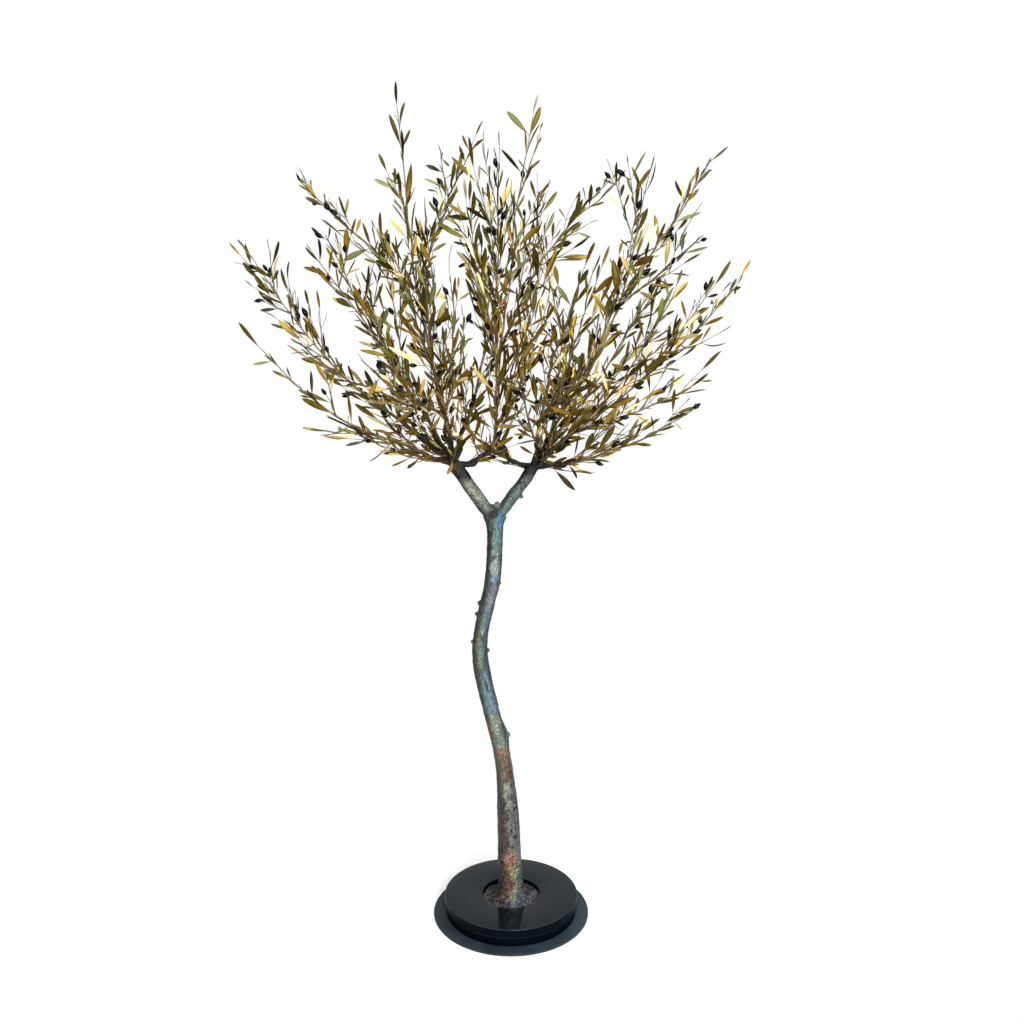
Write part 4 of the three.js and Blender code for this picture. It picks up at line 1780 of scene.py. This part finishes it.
# The sprigs of each stem, which is a limb or the wand of a mass, in the order of their growth.
SPRIGS = (
    (
        "limb_left_low",
        (0.1, (-1, -0.15, 0.06), 0.125), (0.3, (-0.9, -0.5, 0.1), 0.11),
        (0.55, (-0.9, 0.3, -0.02), 0.1),
    ),
    ("limb_left_back", (0.3, (-0.5, 0.8, 0.05), 0.12)),
    ("limb_left_front", (0.25, (-0.5, -0.8, 0.12), 0.11)),
    ("limb_front_left", (0.3, (0.1, -1, 0.12), 0.1)),
    ("limb_right_tall", (0.25, (-0.9, -0.4, 0.02), 0.045)),
    ("limb_right_lowest", (0.25, (0.9, -0.35, -0.22), 0.085), (0.5, (0.9, 0.3, -0.1), 0.09)),
    ("limb_front_right", (0.3, (0.3, -1, 0.08), 0.1)),
    ("limb_right_back", (0.35, (0.4, 0.9, 0.05), 0.11)),
    (
        "limb_centre_low",
        (0.5, (0.2, -0.8, 0.25), 0.08), (0.6, (-0.25, -0.4, 0.9), 0.13), (0.98, (0.35, -0.3, 1), 0.22),
    ),
    ("limb_right_tall", (0.98, (0.3, 0.2, 1), 0.25)),
    ("limb_right_mid", (0.7, (-0.3, -0.2, 1), 0.19), (0.8, (0.4, -0.6, 0.9), 0.13)),
    ("limb_right_reach", (0.7, (0.5, 0.6, 0.6), 0.14)),
    ("limb_right_lowest", (0.85, (0.8, 0.4, 0.5), 0.15), (0.95, (0.9, -0.3, 0.3), 0.13)),
    ("limb_left_low", (0.9, (-0.5, -0.5, 0.8), 0.13)),
    ("limb_left_reach", (0.8, (-0.8, 0.4, 0.5), 0.15)),
    ("leaves_left_low", (0.22, (-1, -0.4, 0), 0.1), (0.32, (-1, 0.4, 0.1), 0.1)),
    ("leaves_centre", (0.72, (-0.35, -0.3, 1), 0.14), (0.82, (-0.25, 0.3, 1), 0.11)),
    ("leaves_back_left_high", (0.65, (0.55, -0.3, 0.9), 0.11)),
    ("leaves_right_tall", (0.8, (0.4, -0.2, 1), 0.11)),
    ("leaves_right_mid", (0.8, (-0.4, 0.2, 1), 0.12)),
    ("leaves_right_back", (0.82, (0.6, -0.2, 0.8), 0.11)),
    ("leaves_right_reach", (0.5, (0.3, 0.3, 1), 0.14)),
    (
        "leaves_left_reach",
        (0.48, (-1, -0.3, 0.3), 0.065), (0.58, (-0.1, 0.3, 1), 0.07), (0.66, (-1, 0.3, 0.3), 0.06),
        (0.72, (-0.2, -0.3, 1), 0.07), (0.8, (-1, -0.2, 0.4), 0.055), (0.86, (-0.1, 0.2, 1), 0.06),
    ),
    ("leaves_left_low", (0.55, (-0.2, -0.3, 1), 0.08)),
    ("leaves_left_back", (0.8, (0.2, -0.2, 1), 0.1)),
    ("leaves_left_front", (0.72, (0.3, 0.2, 1), 0.1), (0.84, (0.3, -0.2, 0.9), 0.08)),
    ("leaves_left_tall", (0.4, (-0.6, 0.2, 0.9), 0.11)),
    ("leaves_right_tall", (0.62, (0.5, 0.3, 0.9), 0.12)),
    ("leaves_right_front", (0.72, (0.9, -0.1, 0.5), 0.1)),
    ("leaves_right_mid", (0.86, (-0.2, -0.2, 1), 0.1)),
    ("limb_centre", (0.9, (0.05, -0.6, 1), 0.1)),
    (
        "leaves_left_reach",
        (0.54, (-0.9, -0.2, 0.5), 0.05), (0.62, (-0.1, -0.3, 1), 0.06), (0.69, (-0.3, 0.5, 0.9), 0.06),
        (0.76, (-0.9, 0.3, 0.2), 0.05), (0.93, (-0.9, 0.2, 0.5), 0.05),
    ),
    ("leaves_front_left_high", (0.7, (-0.5, 0.2, 0.9), 0.09)),
    ("leaves_left_high", (0.15, (-0.6, -0.3, 0.3), 0.08)),
    ("leaves_left_tall", (0.74, (-0.5, -0.2, 0.9), 0.07), (0.58, (0.6, -0.2, 0.9), 0.08)),
    ("leaves_centre", (0.42, (-0.4, -0.3, 1), 0.1)),
    ("leaves_centre_low", (0.72, (-0.2, -0.3, 1), 0.1)),
    (
        "leaves_right_high",
        (0.45, (0.9, -0.4, 0.3), 0.07), (0.6, (0.8, 0.2, 0.3), 0.07), (0.76, (0.9, -0.3, 0.5), 0.08),
    ),
    ("leaves_left_low", (0.38, (-0.8, -0.2, -0.1), 0.08), (0.28, (-0.9, 0.5, -0.15), 0.08)),
    ("limb_centre", (0.6, (0.4, -0.8, 0.6), 0.07)),
    ("limb_centre_low", (0.75, (-0.1, -0.8, 0.7), 0.07)),
    ("leaves_right_lowest", (0.2, (0.6, -0.3, 0.7), 0.08)),
    ("leaves_right_low", (0.45, (0.4, -0.5, 0.6), 0.07)),
    ("leaves_right_tip", (0.3, (0.8, -0.4, 0.2), 0.08)),
    ("leaves_right_front", (0.92, (0.5, 0.2, 0.8), 0.07)),
)

# Where sky shows right through the crown: x, z and radius.
GAPS = ((-0.381, 1.333, 0.038), (-0.348, 1.274, 0.040), (-0.316, 1.221, 0.034))

# How many directions a bound is read in.
BOUND_DIRECTIONS = 90


@dataclass(frozen=True)
class Growth:
    """How side shoots grow from a stem.

    They leave at every `step` or so over a share of the stem, crowded towards its foot by a
    power. Their length runs between two values from the stem's foot to its end, and their
    angle is drawn between two. A shoot bends up by `rise`, takes the roomiest of its `tries`,
    and has to find the room that is `wanted`.
    """

    step: float
    share: Pair
    crowd: float
    length: Pair
    angle: Pair
    rise: float
    tries: int
    wanted: float
    stations: int


@dataclass(frozen=True)
class Bound:
    """A convex bound, told by how far it reaches in many directions spread over a sphere."""

    directions: Array
    reach: Array

    @classmethod
    def about(cls, points: Array, hub: Array, share: float) -> "Bound":
        """Bound points, with the bound drawn in towards a hub.

        Args:
            points: The points.
            hub: The place towards which the bound is drawn.
            share: The share of its distance from the hub that is left.

        Returns:
            The bound.
        """
        step = np.arange(BOUND_DIRECTIONS) + 0.5
        height = 1.0 - 2.0 * step / BOUND_DIRECTIONS
        turn = np.pi * (1.0 + 5.0**0.5) * step
        flat = np.sqrt(1.0 - height**2)
        directions = np.stack([flat * np.cos(turn), flat * np.sin(turn), height], -1)
        middle = directions @ hub
        return cls(directions, middle + share * ((points @ directions.T).max(axis=0) - middle))

    def outside(self, points: Array) -> Array:
        """Give how far outside the bound each point is, and 0 where it is within."""
        return np.maximum((points @ self.directions.T - self.reach).max(axis=-1), 0.0)


@dataclass
class Crown:
    """Wands, twigs, leaves and fruit that grow on from the limbs by a seeded rule."""

    limbs: dict[str, Array]
    seed: int = 4
    leaf_seed: int = 4
    wand_stations: int = 44
    wand_foot: float = 3.3 * MM
    child_foot: float = 2.7 * MM
    wand_tip: float = 0.8 * MM
    twig_tip: float = 0.5 * MM
    twig_foot: float = 1.7 * MM
    crook: float = 4 * MM
    sprig_rise: float = 0.18
    switches: Growth = Growth(
        step=0.19, share=(0.06, 0.5), crowd=1.0, length=(0.32, 0.18), angle=(10.0, 30.0),
        rise=0.14, tries=24, wanted=0.72, stations=22,
    )
    twigs: Growth = Growth(
        step=0.060, share=(0.02, 0.86), crowd=1.1, length=(0.080, 0.05), angle=(14.0, 34.0),
        rise=0.06, tries=3, wanted=0.14, stations=10,
    )
    shoot_lift: float = 0.06
    shoot_lengths: Pair = (0.6, 1.2)
    bent_back: float = 0.4
    stoutness: float = 14 * MM
    depth_share: float = 0.4
    room: float = 70 * MM
    drawn_in: Pair = (0.84, 1.02)
    reach: float = 0.72
    leaf_pitch: float = 23 * MM
    leaf_spread: float = 0.15
    leaves_kept: Pair = (0.88, 0.9)
    bare_feet: Triple = (4 * MM, 25 * MM, 16 * MM)
    leaf_shrink: Pair = (1.0, 0.94)
    leaf_length: float = 44 * MM
    leaf_vary: float = 15 * MM
    leaf_lengths: Pair = (20 * MM, 80 * MM)
    leaf_slimness: Pair = (0.108, 0.182)
    tip_leaf: float = 1.05 * 49 * MM
    leaf_clear: float = 8 * MM
    leaf_jitter: float = 5 * MM
    leaf_lift: float = 0.05
    leaf_angle: Pair = (13.0, 64.0)
    angle_power: float = 1.7
    loosened: float = 0.38
    lengthened: float = 0.22
    leaf_shade: Pair = (0.28, 1.28)
    fruit_count: int = 230
    green_share: float = 0.04
    shape: LeafShape = LeafShape()
    stem_finish: StemFinish = StemFinish()

    def __post_init__(self) -> None:
        """Start the random numbers."""
        self.random = np.random.default_rng(self.seed)

    def hub(self) -> Array:
        """Give the middle of the limbs' feet."""
        return np.mean([line[0] for line in self.limbs.values()], axis=0)

    def masses(self) -> tuple[list[str], list[str]]:
        """Name the masses.

        Returns:
            Those that sit on a limb, and those that spring from another branch.
        """
        names = [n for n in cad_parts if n.startswith("leaves_")]
        first = [n for n in names if n.replace("leaves_", "limb_") in self.limbs]
        return first, [n for n in names if n not in first]

    def wands(self) -> list[Stem]:
        """Run a wand through every mass.

        One on a limb starts inside the limb's end. Any other starts on the nearest wand already
        grown, a little below the mass's foot.

        Returns:
            Each wand's line and radii.
        """
        on_limb, on_wand = self.masses()
        hub = self.hub()
        grown = []
        for name in on_limb:
            limb = self.limbs[name.replace("leaves_", "limb_")]
            line, _ = spine(name, limb[-1], 5)
            grown.append(self.wand(np.vstack([limb[3], limb[7], limb[-1], line[1:]]), self.wand_foot))
        parents = np.concatenate([line for line, _ in grown])
        for name in on_wand:
            points = node_points(name)
            foot = nearest(points, hub)
            line, _ = spine(name, foot, 5)
            start = nearest(parents, foot - 30 * MM * unit(line[2] - foot))
            grown.append(self.wand(np.vstack([start, line[1:]]), self.child_foot))
        return grown

    def wand(self, line: Array, foot: float) -> Stem:
        """Smooth one wand's line, crook it a little and taper it.

        Args:
            line: The points that it follows, the last at its furthest leaf.
            foot: Its radius at the foot.

        Returns:
            The line, which ends a leaf's length short, and the radii.
        """
        line = line.copy()
        line[-1] -= self.tip_leaf * unit(line[-1] - line[-2])
        run = curve_through(line, self.wand_stations)
        share = shares(len(run))
        crook = shifts(run, 0.05, 101)
        run = run + self.crook * crook * np.sin(np.pi * share)[:, None]
        return run, self.wand_tip + (foot - self.wand_tip) * (1.0 - share) ** 1.1

    def offshoots(
        self, stems: Sequence[Stem], growth: Growth, crowd: Array, bound: Bound
    ) -> list[Stem]:
        """Grow side shoots from stems towards open space.

        Of the directions and lengths that are tried, a shoot takes the one whose further half is
        furthest from the stems already grown. Depth counts for less, room past enough for nothing,
        and a tip outside the bound against it. A shoot with too little room isn't grown. It bends
        towards its stem's direction and upwards by the square of its share.

        Args:
            stems: The stems' lines and radii.
            growth: The rule.
            crowd: Places on the stems already grown.
            bound: The crown's bound.

        Returns:
            The shoots' lines and radii.
        """
        t = shares(growth.stations)[:, None]
        squash = np.array((1.0, self.depth_share, 1.0))
        grown = []
        for line, radii in stems:
            run = run_along(line)
            count = max(int(run[-1] / growth.step), 1)
            even = (np.arange(count) + self.random.uniform(0.1, 0.9, count)) / count
            first, last = growth.share
            share = first + (last - first) * even**growth.crowd
            foot, along, side, over = (p[:, None] for p in self.read_line(line, share * run[-1]))
            size = (count, growth.tries)
            turn = self.random.uniform(0.0, 2 * np.pi, size)[..., None]
            angle = np.radians(self.random.uniform(*growth.angle, size))[..., None]
            out = np.cos(turn) * side + np.sin(turn) * over
            head = unit(along * np.cos(angle) + out * np.sin(angle) + self.shoot_lift * UP)
            long, short = growth.length
            length = (long + (short - long) * share)[:, None]
            length = length * self.random.uniform(*self.shoot_lengths, size)
            bend = self.bent_back * (along - head) + growth.rise * UP
            way = t * head[..., None, :] + t**2 * bend[..., None, :]
            lines = foot[..., None, :] + length[..., None, None] * way
            far = lines[:, :, [growth.stations * 2 // 3, -1]] * squash
            gaps = sizes(far[..., None, :] - crowd * squash).min(axis=-1)
            score = np.minimum(gaps / self.room, 1.0).mean(axis=-1)
            score = score - bound.outside(lines[:, :, -1]) / self.room - self.in_gaps(lines)
            best = np.argmax(score, axis=1)
            roomy = score.max(axis=1) > growth.wanted
            kept = lines[np.arange(count), best][roomy]
            crowd = np.concatenate([crowd, kept[:, growth.stations // 2 :].reshape(-1, 3)])
            girth = 0.8 * np.interp(share * run[-1], run, radii)
            girth = np.minimum(girth, self.stoutness * length[:, 0])
            grown.extend(self.tapered(line, thick) for line, thick in zip(kept, girth[roomy]))
        return grown

    def in_gaps(self, lines: Array) -> Array:
        """Count, for each shoot, the gaps that its further half passes through."""
        far = lines[..., lines.shape[-2] // 2 :, :]
        return sum((np.hypot(far[..., 0] - x, far[..., 2] - z) < r).any(axis=-1) for x, z, r in GAPS)

    def tapered(self, line: Array, girth: float) -> Stem:
        """Crook a shoot a little and taper it from its girth to a twig's tip.

        Args:
            line: The shoot's line.
            girth: The radius at its foot.

        Returns:
            The line and the radii.
        """
        t = shares(len(line))
        crook = shifts(line, 0.04, 111)
        radii = self.twig_tip + (max(girth, self.twig_tip) - self.twig_tip) * (1.0 - t) ** 0.8
        return line + self.crook * t[:, None] * crook, radii

    def sprig_line(self, sprig: Sprig, stem: Array, t: Array) -> Array:
        """Run a listed twig from its stem's line, bending upwards by the square of its share."""
        foot = stem[int(sprig.share * (len(stem) - 1))]
        return foot + sprig.length * (t * unit(np.array(sprig.heading)) + self.sprig_rise * t**2 * UP)

    def read_line(self, line: Array, where: Array) -> tuple[Array, Array, Array, Array]:
        """Read a line at lengths along it.

        Args:
            line: The line.
            where: The lengths.

        Returns:
            The place and the directions along, to the side and over, at each length.
        """
        run = run_along(line)
        parts = [line, *(part[0] for part in frames(line[None]))]
        place, along, side, over = (
            np.stack([np.interp(where, run, part[:, k]) for k in range(3)], -1) for part in parts
        )
        return place, unit(along), unit(side), unit(over)

    def leaves_on(self, line: Array, bare: float) -> tuple[LeafSet, Array]:
        """Lay opposite pairs of leaves along one shoot, with one more at its tip.

        Each pair is turned a quarter from the last and leans out by its angle. On an upright shoot
        the leaves are longer, and further apart.

        Args:
            line: The shoot's line.
            bare: The length at its foot that has no leaves.

        Returns:
            The leaves, and the places at which fruit may hang with the direction out.
        """
        run = run_along(line)
        free = run[-1] - bare - self.leaf_clear
        upward = unit(line[-1] - line[len(line) // 2])[2]
        upright = ease((upward - 0.86) / 0.12) * ease(run[-1] / 0.5 - 0.2)
        count = max(int(free / self.leaf_pitch / (1.0 + self.loosened * upright)), 1)
        even = (np.arange(count) + 0.3) / count
        where = bare + free * even * (1.0 + self.leaf_spread * even) / (1.0 + self.leaf_spread)
        where = where + self.random.uniform(-self.leaf_jitter, self.leaf_jitter, len(where))
        foot, along, side, over = self.read_line(line, where)
        turn = self.random.uniform(0, 2 * np.pi) + 0.5 * np.pi * np.arange(len(where))
        turn = np.stack([turn, turn + np.pi], 1) + self.random.normal(0.0, 0.3, (len(where), 2))
        out = np.cos(turn)[..., None] * side[:, None] + np.sin(turn)[..., None] * over[:, None]
        low, high = self.leaf_angle
        lean = self.random.uniform(size=turn.shape) ** self.angle_power
        angle = np.radians(low + (high - low) * lean)[..., None]
        head = along[:, None] * np.cos(angle) + out * np.sin(angle) + self.leaf_lift * UP
        head = unit(head).reshape(-1, 3)
        feet = np.repeat(foot, 2, axis=0)
        share = np.repeat(where / run[-1], 2)
        least, most = self.leaves_kept
        wanted = self.random.uniform(size=len(share)) < least + (most - least) * share
        tip_along = unit(line[-1] - line[-3])
        feet = np.vstack([feet[wanted], line[-1:]])
        head = np.vstack([head[wanted], tip_along[None]])
        flat = np.vstack([out.reshape(-1, 3)[wanted], side[-1:]])
        size = np.interp(np.append(share[wanted], 1.0), (0.0, 1.0), self.leaf_shrink)
        size = size * (1.0 + self.lengthened * upright)
        return self.leaf_set(feet, head, flat, size), np.stack([foot, along, out[:, 0]], 1)

    def leaf_set(self, feet: Array, heads: Array, flats: Array, size: Array) -> LeafSet:
        """Draw the sizes of leaves from the random numbers.

        Args:
            feet: Where each leaf starts.
            heads: The direction of each leaf.
            flats: A direction across each leaf before it is rolled.
            size: A factor on each leaf's length.

        Returns:
            The leaves.
        """
        count = len(feet)
        roll = self.random.normal(0.0, 0.7, count)[:, None]
        flat = unit(flats - (flats * heads).sum(-1, keepdims=True) * heads)
        across = flat * np.cos(roll) + np.cross(heads, flat) * np.sin(roll)
        least, greatest = self.leaf_lengths
        drawn = self.random.normal(self.leaf_length, self.leaf_vary, count)
        length = size * np.clip(drawn, least, greatest)
        return LeafSet(
            foot=feet,
            along=heads,
            across=across,
            length=length,
            width=length * self.random.uniform(*self.leaf_slimness, count),
            bend=self.random.normal(-0.03, 0.12, count),
            twist=self.random.normal(0.0, 0.55, count),
            fold=self.random.uniform(0.05, 0.5, count),
            tone=self.random.uniform(0.0, 1.0, count),
            shade=self.random.uniform(*self.leaf_shade, count),
            kind=self.random.uniform(0.0, 1.0, count),
        )

    def build_stems(self, name: str, stems: Sequence[Stem], first: float, sides: int) -> None:
        """Make the stems of one kind, joined in one piece.

        Args:
            name: The piece's name.
            stems: The stems' lines and radii.
            first: How far along the crown the stems start, from 0 to 1.
            sides: How many sides a stem has.
        """
        skins = []
        for count in sorted({len(line) for line, _ in stems}):
            lines, radii = (np.stack(x) for x in zip(*(s for s in stems if len(s[0]) == count)))
            share = np.broadcast_to(np.linspace(first, 1.0, count), lines.shape[:2])
            skins.append(Shoots(lines, radii, share).skin(sides))
        finish_piece(joined(skins).object(name), self.stem_finish.material())

    def build_leaves(self, leaves: LeafSet) -> None:
        """Make the leaves, with each tone joined in one piece, in place of the masses.

        Args:
            leaves: All the leaves.
        """
        masses = [n for group in self.masses() for n in group]
        dealt = leaves.dealt(self.hub(), self.reach)
        away = sizes(leaves.foot - self.hub()) / self.reach
        leaves.tone = np.clip(0.75 * leaves.tone + 0.45 - 0.65 * away, 0.0, 1.0)
        for number, tone in enumerate(LEAF_TONES):
            skin = self.shape.skin(leaves.picked(dealt == number))
            piece = skin.object(tone.name.replace("leaf", "leaves"), crease=75)
            stands_for = masses if number == 0 else ()
            finish_piece(piece, tone.material(), stands_for)
        LOG.info("leaves: %d", len(leaves.foot))

    def build(self) -> None:
        """Grow the crown."""
        wands = self.wands()
        crowd = np.concatenate([line for line, _ in wands])
        inner, outer = (Bound.about(crowd, self.hub(), share) for share in self.drawn_in)
        switches = self.offshoots(wands, self.switches, crowd, inner)
        crowd = np.concatenate([crowd, *(line for line, _ in switches)])
        twigs = self.offshoots(wands + switches, self.twigs, crowd, outer)
        LOG.info("wands %d, switches %d, twigs %d", len(wands), len(switches), len(twigs))
        t = shares(self.twigs.stations)[:, None]
        masses = [name for group in self.masses() for name in group]
        lines = {**self.limbs, **{name: line for name, (line, _) in zip(masses, wands)}}
        for stem, *rows in SPRIGS:
            sprigs = [self.sprig_line(Sprig(*row), lines[stem], t) for row in rows]
            twigs += [self.tapered(line, self.twig_foot) for line in sprigs]
        self.build_stems("wand_stems", wands, first=0.0, sides=8)
        self.build_stems("twig_stems", switches + twigs, first=0.45, sides=6)
        self.random = np.random.default_rng(self.leaf_seed)
        sets, spots = [], []
        for stems, bare in zip((wands, switches, twigs), self.bare_feet):
            for line, _ in stems:
                found, places = self.leaves_on(line, bare)
                sets.append(found)
                spots.append(places)
        self.build_leaves(LeafSet.joined(sets))
        Fruit(self.random).build(np.concatenate(spots), self.fruit_count, self.green_share)


@dataclass
class Fruit:
    """Pointed olives on thin stalks at the feet of leaves."""

    random: np.random.Generator
    length: float = 21 * MM
    width: float = 9.6 * MM
    rings: int = 6
    around: int = 8
    stalk: Pair = (9 * MM, 22 * MM)
    stalk_radius: float = 0.7 * MM
    black: FruitFinish = FruitFinish("ripe_fruit", linear(7, 7, 9), linear(22, 21, 26))
    green: FruitFinish = FruitFinish("green_fruit", linear(92, 112, 34), linear(150, 156, 80), 0.3)

    def olives(self, foot: Array, along: Array) -> Skin:
        """Make olives.

        A point is on a ring whose radius is the power 0.85 of the sine of half a turn times
        the power 0.92 of the share, and the last ring is drawn out to the tip.

        Args:
            foot: The stalk's end of each olive.
            along: The direction of each olive.

        Returns:
            The skin.
        """
        share = (np.arange(self.rings) + 0.6) / (self.rings + 0.2)
        size = self.random.uniform(0.68, 1.15, len(foot))
        lines = foot[:, None] + size[:, None, None] * self.length * share[:, None] * along[:, None]
        radii = 0.5 * self.width * np.sin(np.pi * share**0.92) ** 0.85 * size[:, None]
        tip = foot + size[:, None] * self.length * 1.04 * along
        return closed(sections(lines, radii, self.around), foot, tip)

    def build(self, spots: Array, count: int, green_share: float) -> None:
        """Hang fruit at some of the places.

        Args:
            spots: Place, direction along the shoot and direction out, for each place.
            count: How many there are.
            green_share: The share that is green.
        """
        picked = spots[self.random.choice(len(spots), count, replace=False)]
        foot, shoot, out = picked[:, 0], picked[:, 1], picked[:, 2]
        lean = self.random.uniform(-0.3, 0.35, count)[:, None]
        along = unit(0.9 * shoot + 0.6 * out - lean * UP)
        reach = self.random.uniform(*self.stalk, count)[:, None]
        t = shares(5)[None, :, None]
        start = unit(shoot + 0.6 * out)[:, None]
        stalks = foot[:, None] + reach[:, None] * (t * start + t**2 * (along[:, None] - start))
        end = stalks[:, -1] - 0.5 * MM * along
        shape = stalks.shape[:2]
        shoots = Shoots(stalks, np.full(shape, self.stalk_radius), np.ones(shape))
        finish_piece(shoots.skin(5).object("fruit_stalks"), StemFinish("stalk_bronze").material())
        green = self.random.uniform(size=count) < green_share
        for name, finish, mask in (("ripe_olives", self.black, ~green), ("green_olives", self.green, green)):
            skin = self.olives(end[mask], along[mask])
            finish_piece(skin.object(name), finish.material())


# ---------------- studio


@dataclass
class Studio:
    """Pale floor, soft lights, white surroundings and the camera."""

    eye: Triple = (0.002, -2.389, 1.491)
    pitch: float = 13.58
    lens: float = 42.19
    floor_radius: float = 1.15
    surround: float = 0.7
    sides: float = 0.07

    def build(self) -> None:
        """Set the studio up."""
        bpy.context.scene.view_settings.view_transform = "Standard"
        self.floor()
        self.world()
        self.softbox("overhead", (0.0, 0.0, 3.4), (0.0, 0.0, 0.0), size=3.6, power=60.0)
        self.softbox("key", (0.9, -3.4, 2.2), (0.0, 0.0, 0.8), size=1.6, power=190.0)
        self.camera()

    def floor(self) -> None:
        """Lay the floor, one thin slab with its top at nought."""
        edge = self.floor_radius
        corners = np.array([(1e-3, -0.02), (edge, -0.02), (edge, -1e-4), (1e-3, -1e-4)])
        grid = turned(corners, 96)[None]
        skin = closed(grid, np.array([(0.0, 0.0, -0.02)]), np.array([(0.0, 0.0, -1e-4)]))
        slab = skin.object("floor", crease=30)
        slab.data.materials.append(FloorFinish().material())

    def world(self) -> None:
        """Make the surroundings white to look at; as a light they are dim, and dark at the sides."""
        world = bpy.data.worlds.new("studio")
        world.use_nodes = True
        sheet = NodeSheet(world.node_tree)
        seen = sheet.add("ShaderNodeLightPath", output="Is Camera Ray")
        heading = sheet.add("ShaderNodeTexCoord", output="Generated")
        across = sheet.add("ShaderNodeSeparateXYZ", None, {0: heading}, "X")
        aside = sheet.add("ShaderNodeMath", {"operation": "ABSOLUTE"}, {0: across}).between(0.25, 0.7)
        dim = self.surround + (self.sides - self.surround) * aside
        strength = dim + (1.0 - dim) * seen
        glow = sheet.add("ShaderNodeBackground", None, {"Color": (1, 1, 1, 1), "Strength": strength})
        sheet.add("ShaderNodeOutputWorld", None, {"Surface": glow})
        bpy.context.scene.world = world

    def softbox(self, name: str, place: Triple, aim: Triple, size: float, power: float) -> None:
        """Hang a square soft light.

        Args:
            name: Its name.
            place: Where it hangs.
            aim: The place that it faces.
            size: The length of its side.
            power: Its power in watts.
        """
        lamp = bpy.data.lights.new(name, "AREA")
        lamp.size = size
        lamp.energy = power
        box = put_in_scene(name, lamp)
        box.location = place
        box.rotation_euler = (Vector(aim) - Vector(place)).to_track_quat("-Z", "Y").to_euler()

    def camera(self) -> None:
        """Place the camera in front of the tree and a little above its middle."""
        data = bpy.data.cameras.new("camera")
        data.lens = self.lens
        data.sensor_width = 36.0
        made = put_in_scene("camera", data)
        made.location = self.eye
        made.rotation_euler = (math.radians(90.0 - self.pitch), 0.0, 0.0)
        bpy.context.scene.camera = made


def main() -> None:
    """Build every part of the tree and its studio, in order."""
    logging.basicConfig(level=logging.INFO, format="%(name)s: %(message)s")
    Studio().build()
    Stand().build()
    trunk = Trunk()
    RootGround().build(*trunk.foot())
    trunk.build()
    Crown(trunk.limbs).build()


if __name__ == "__main__":
    main()
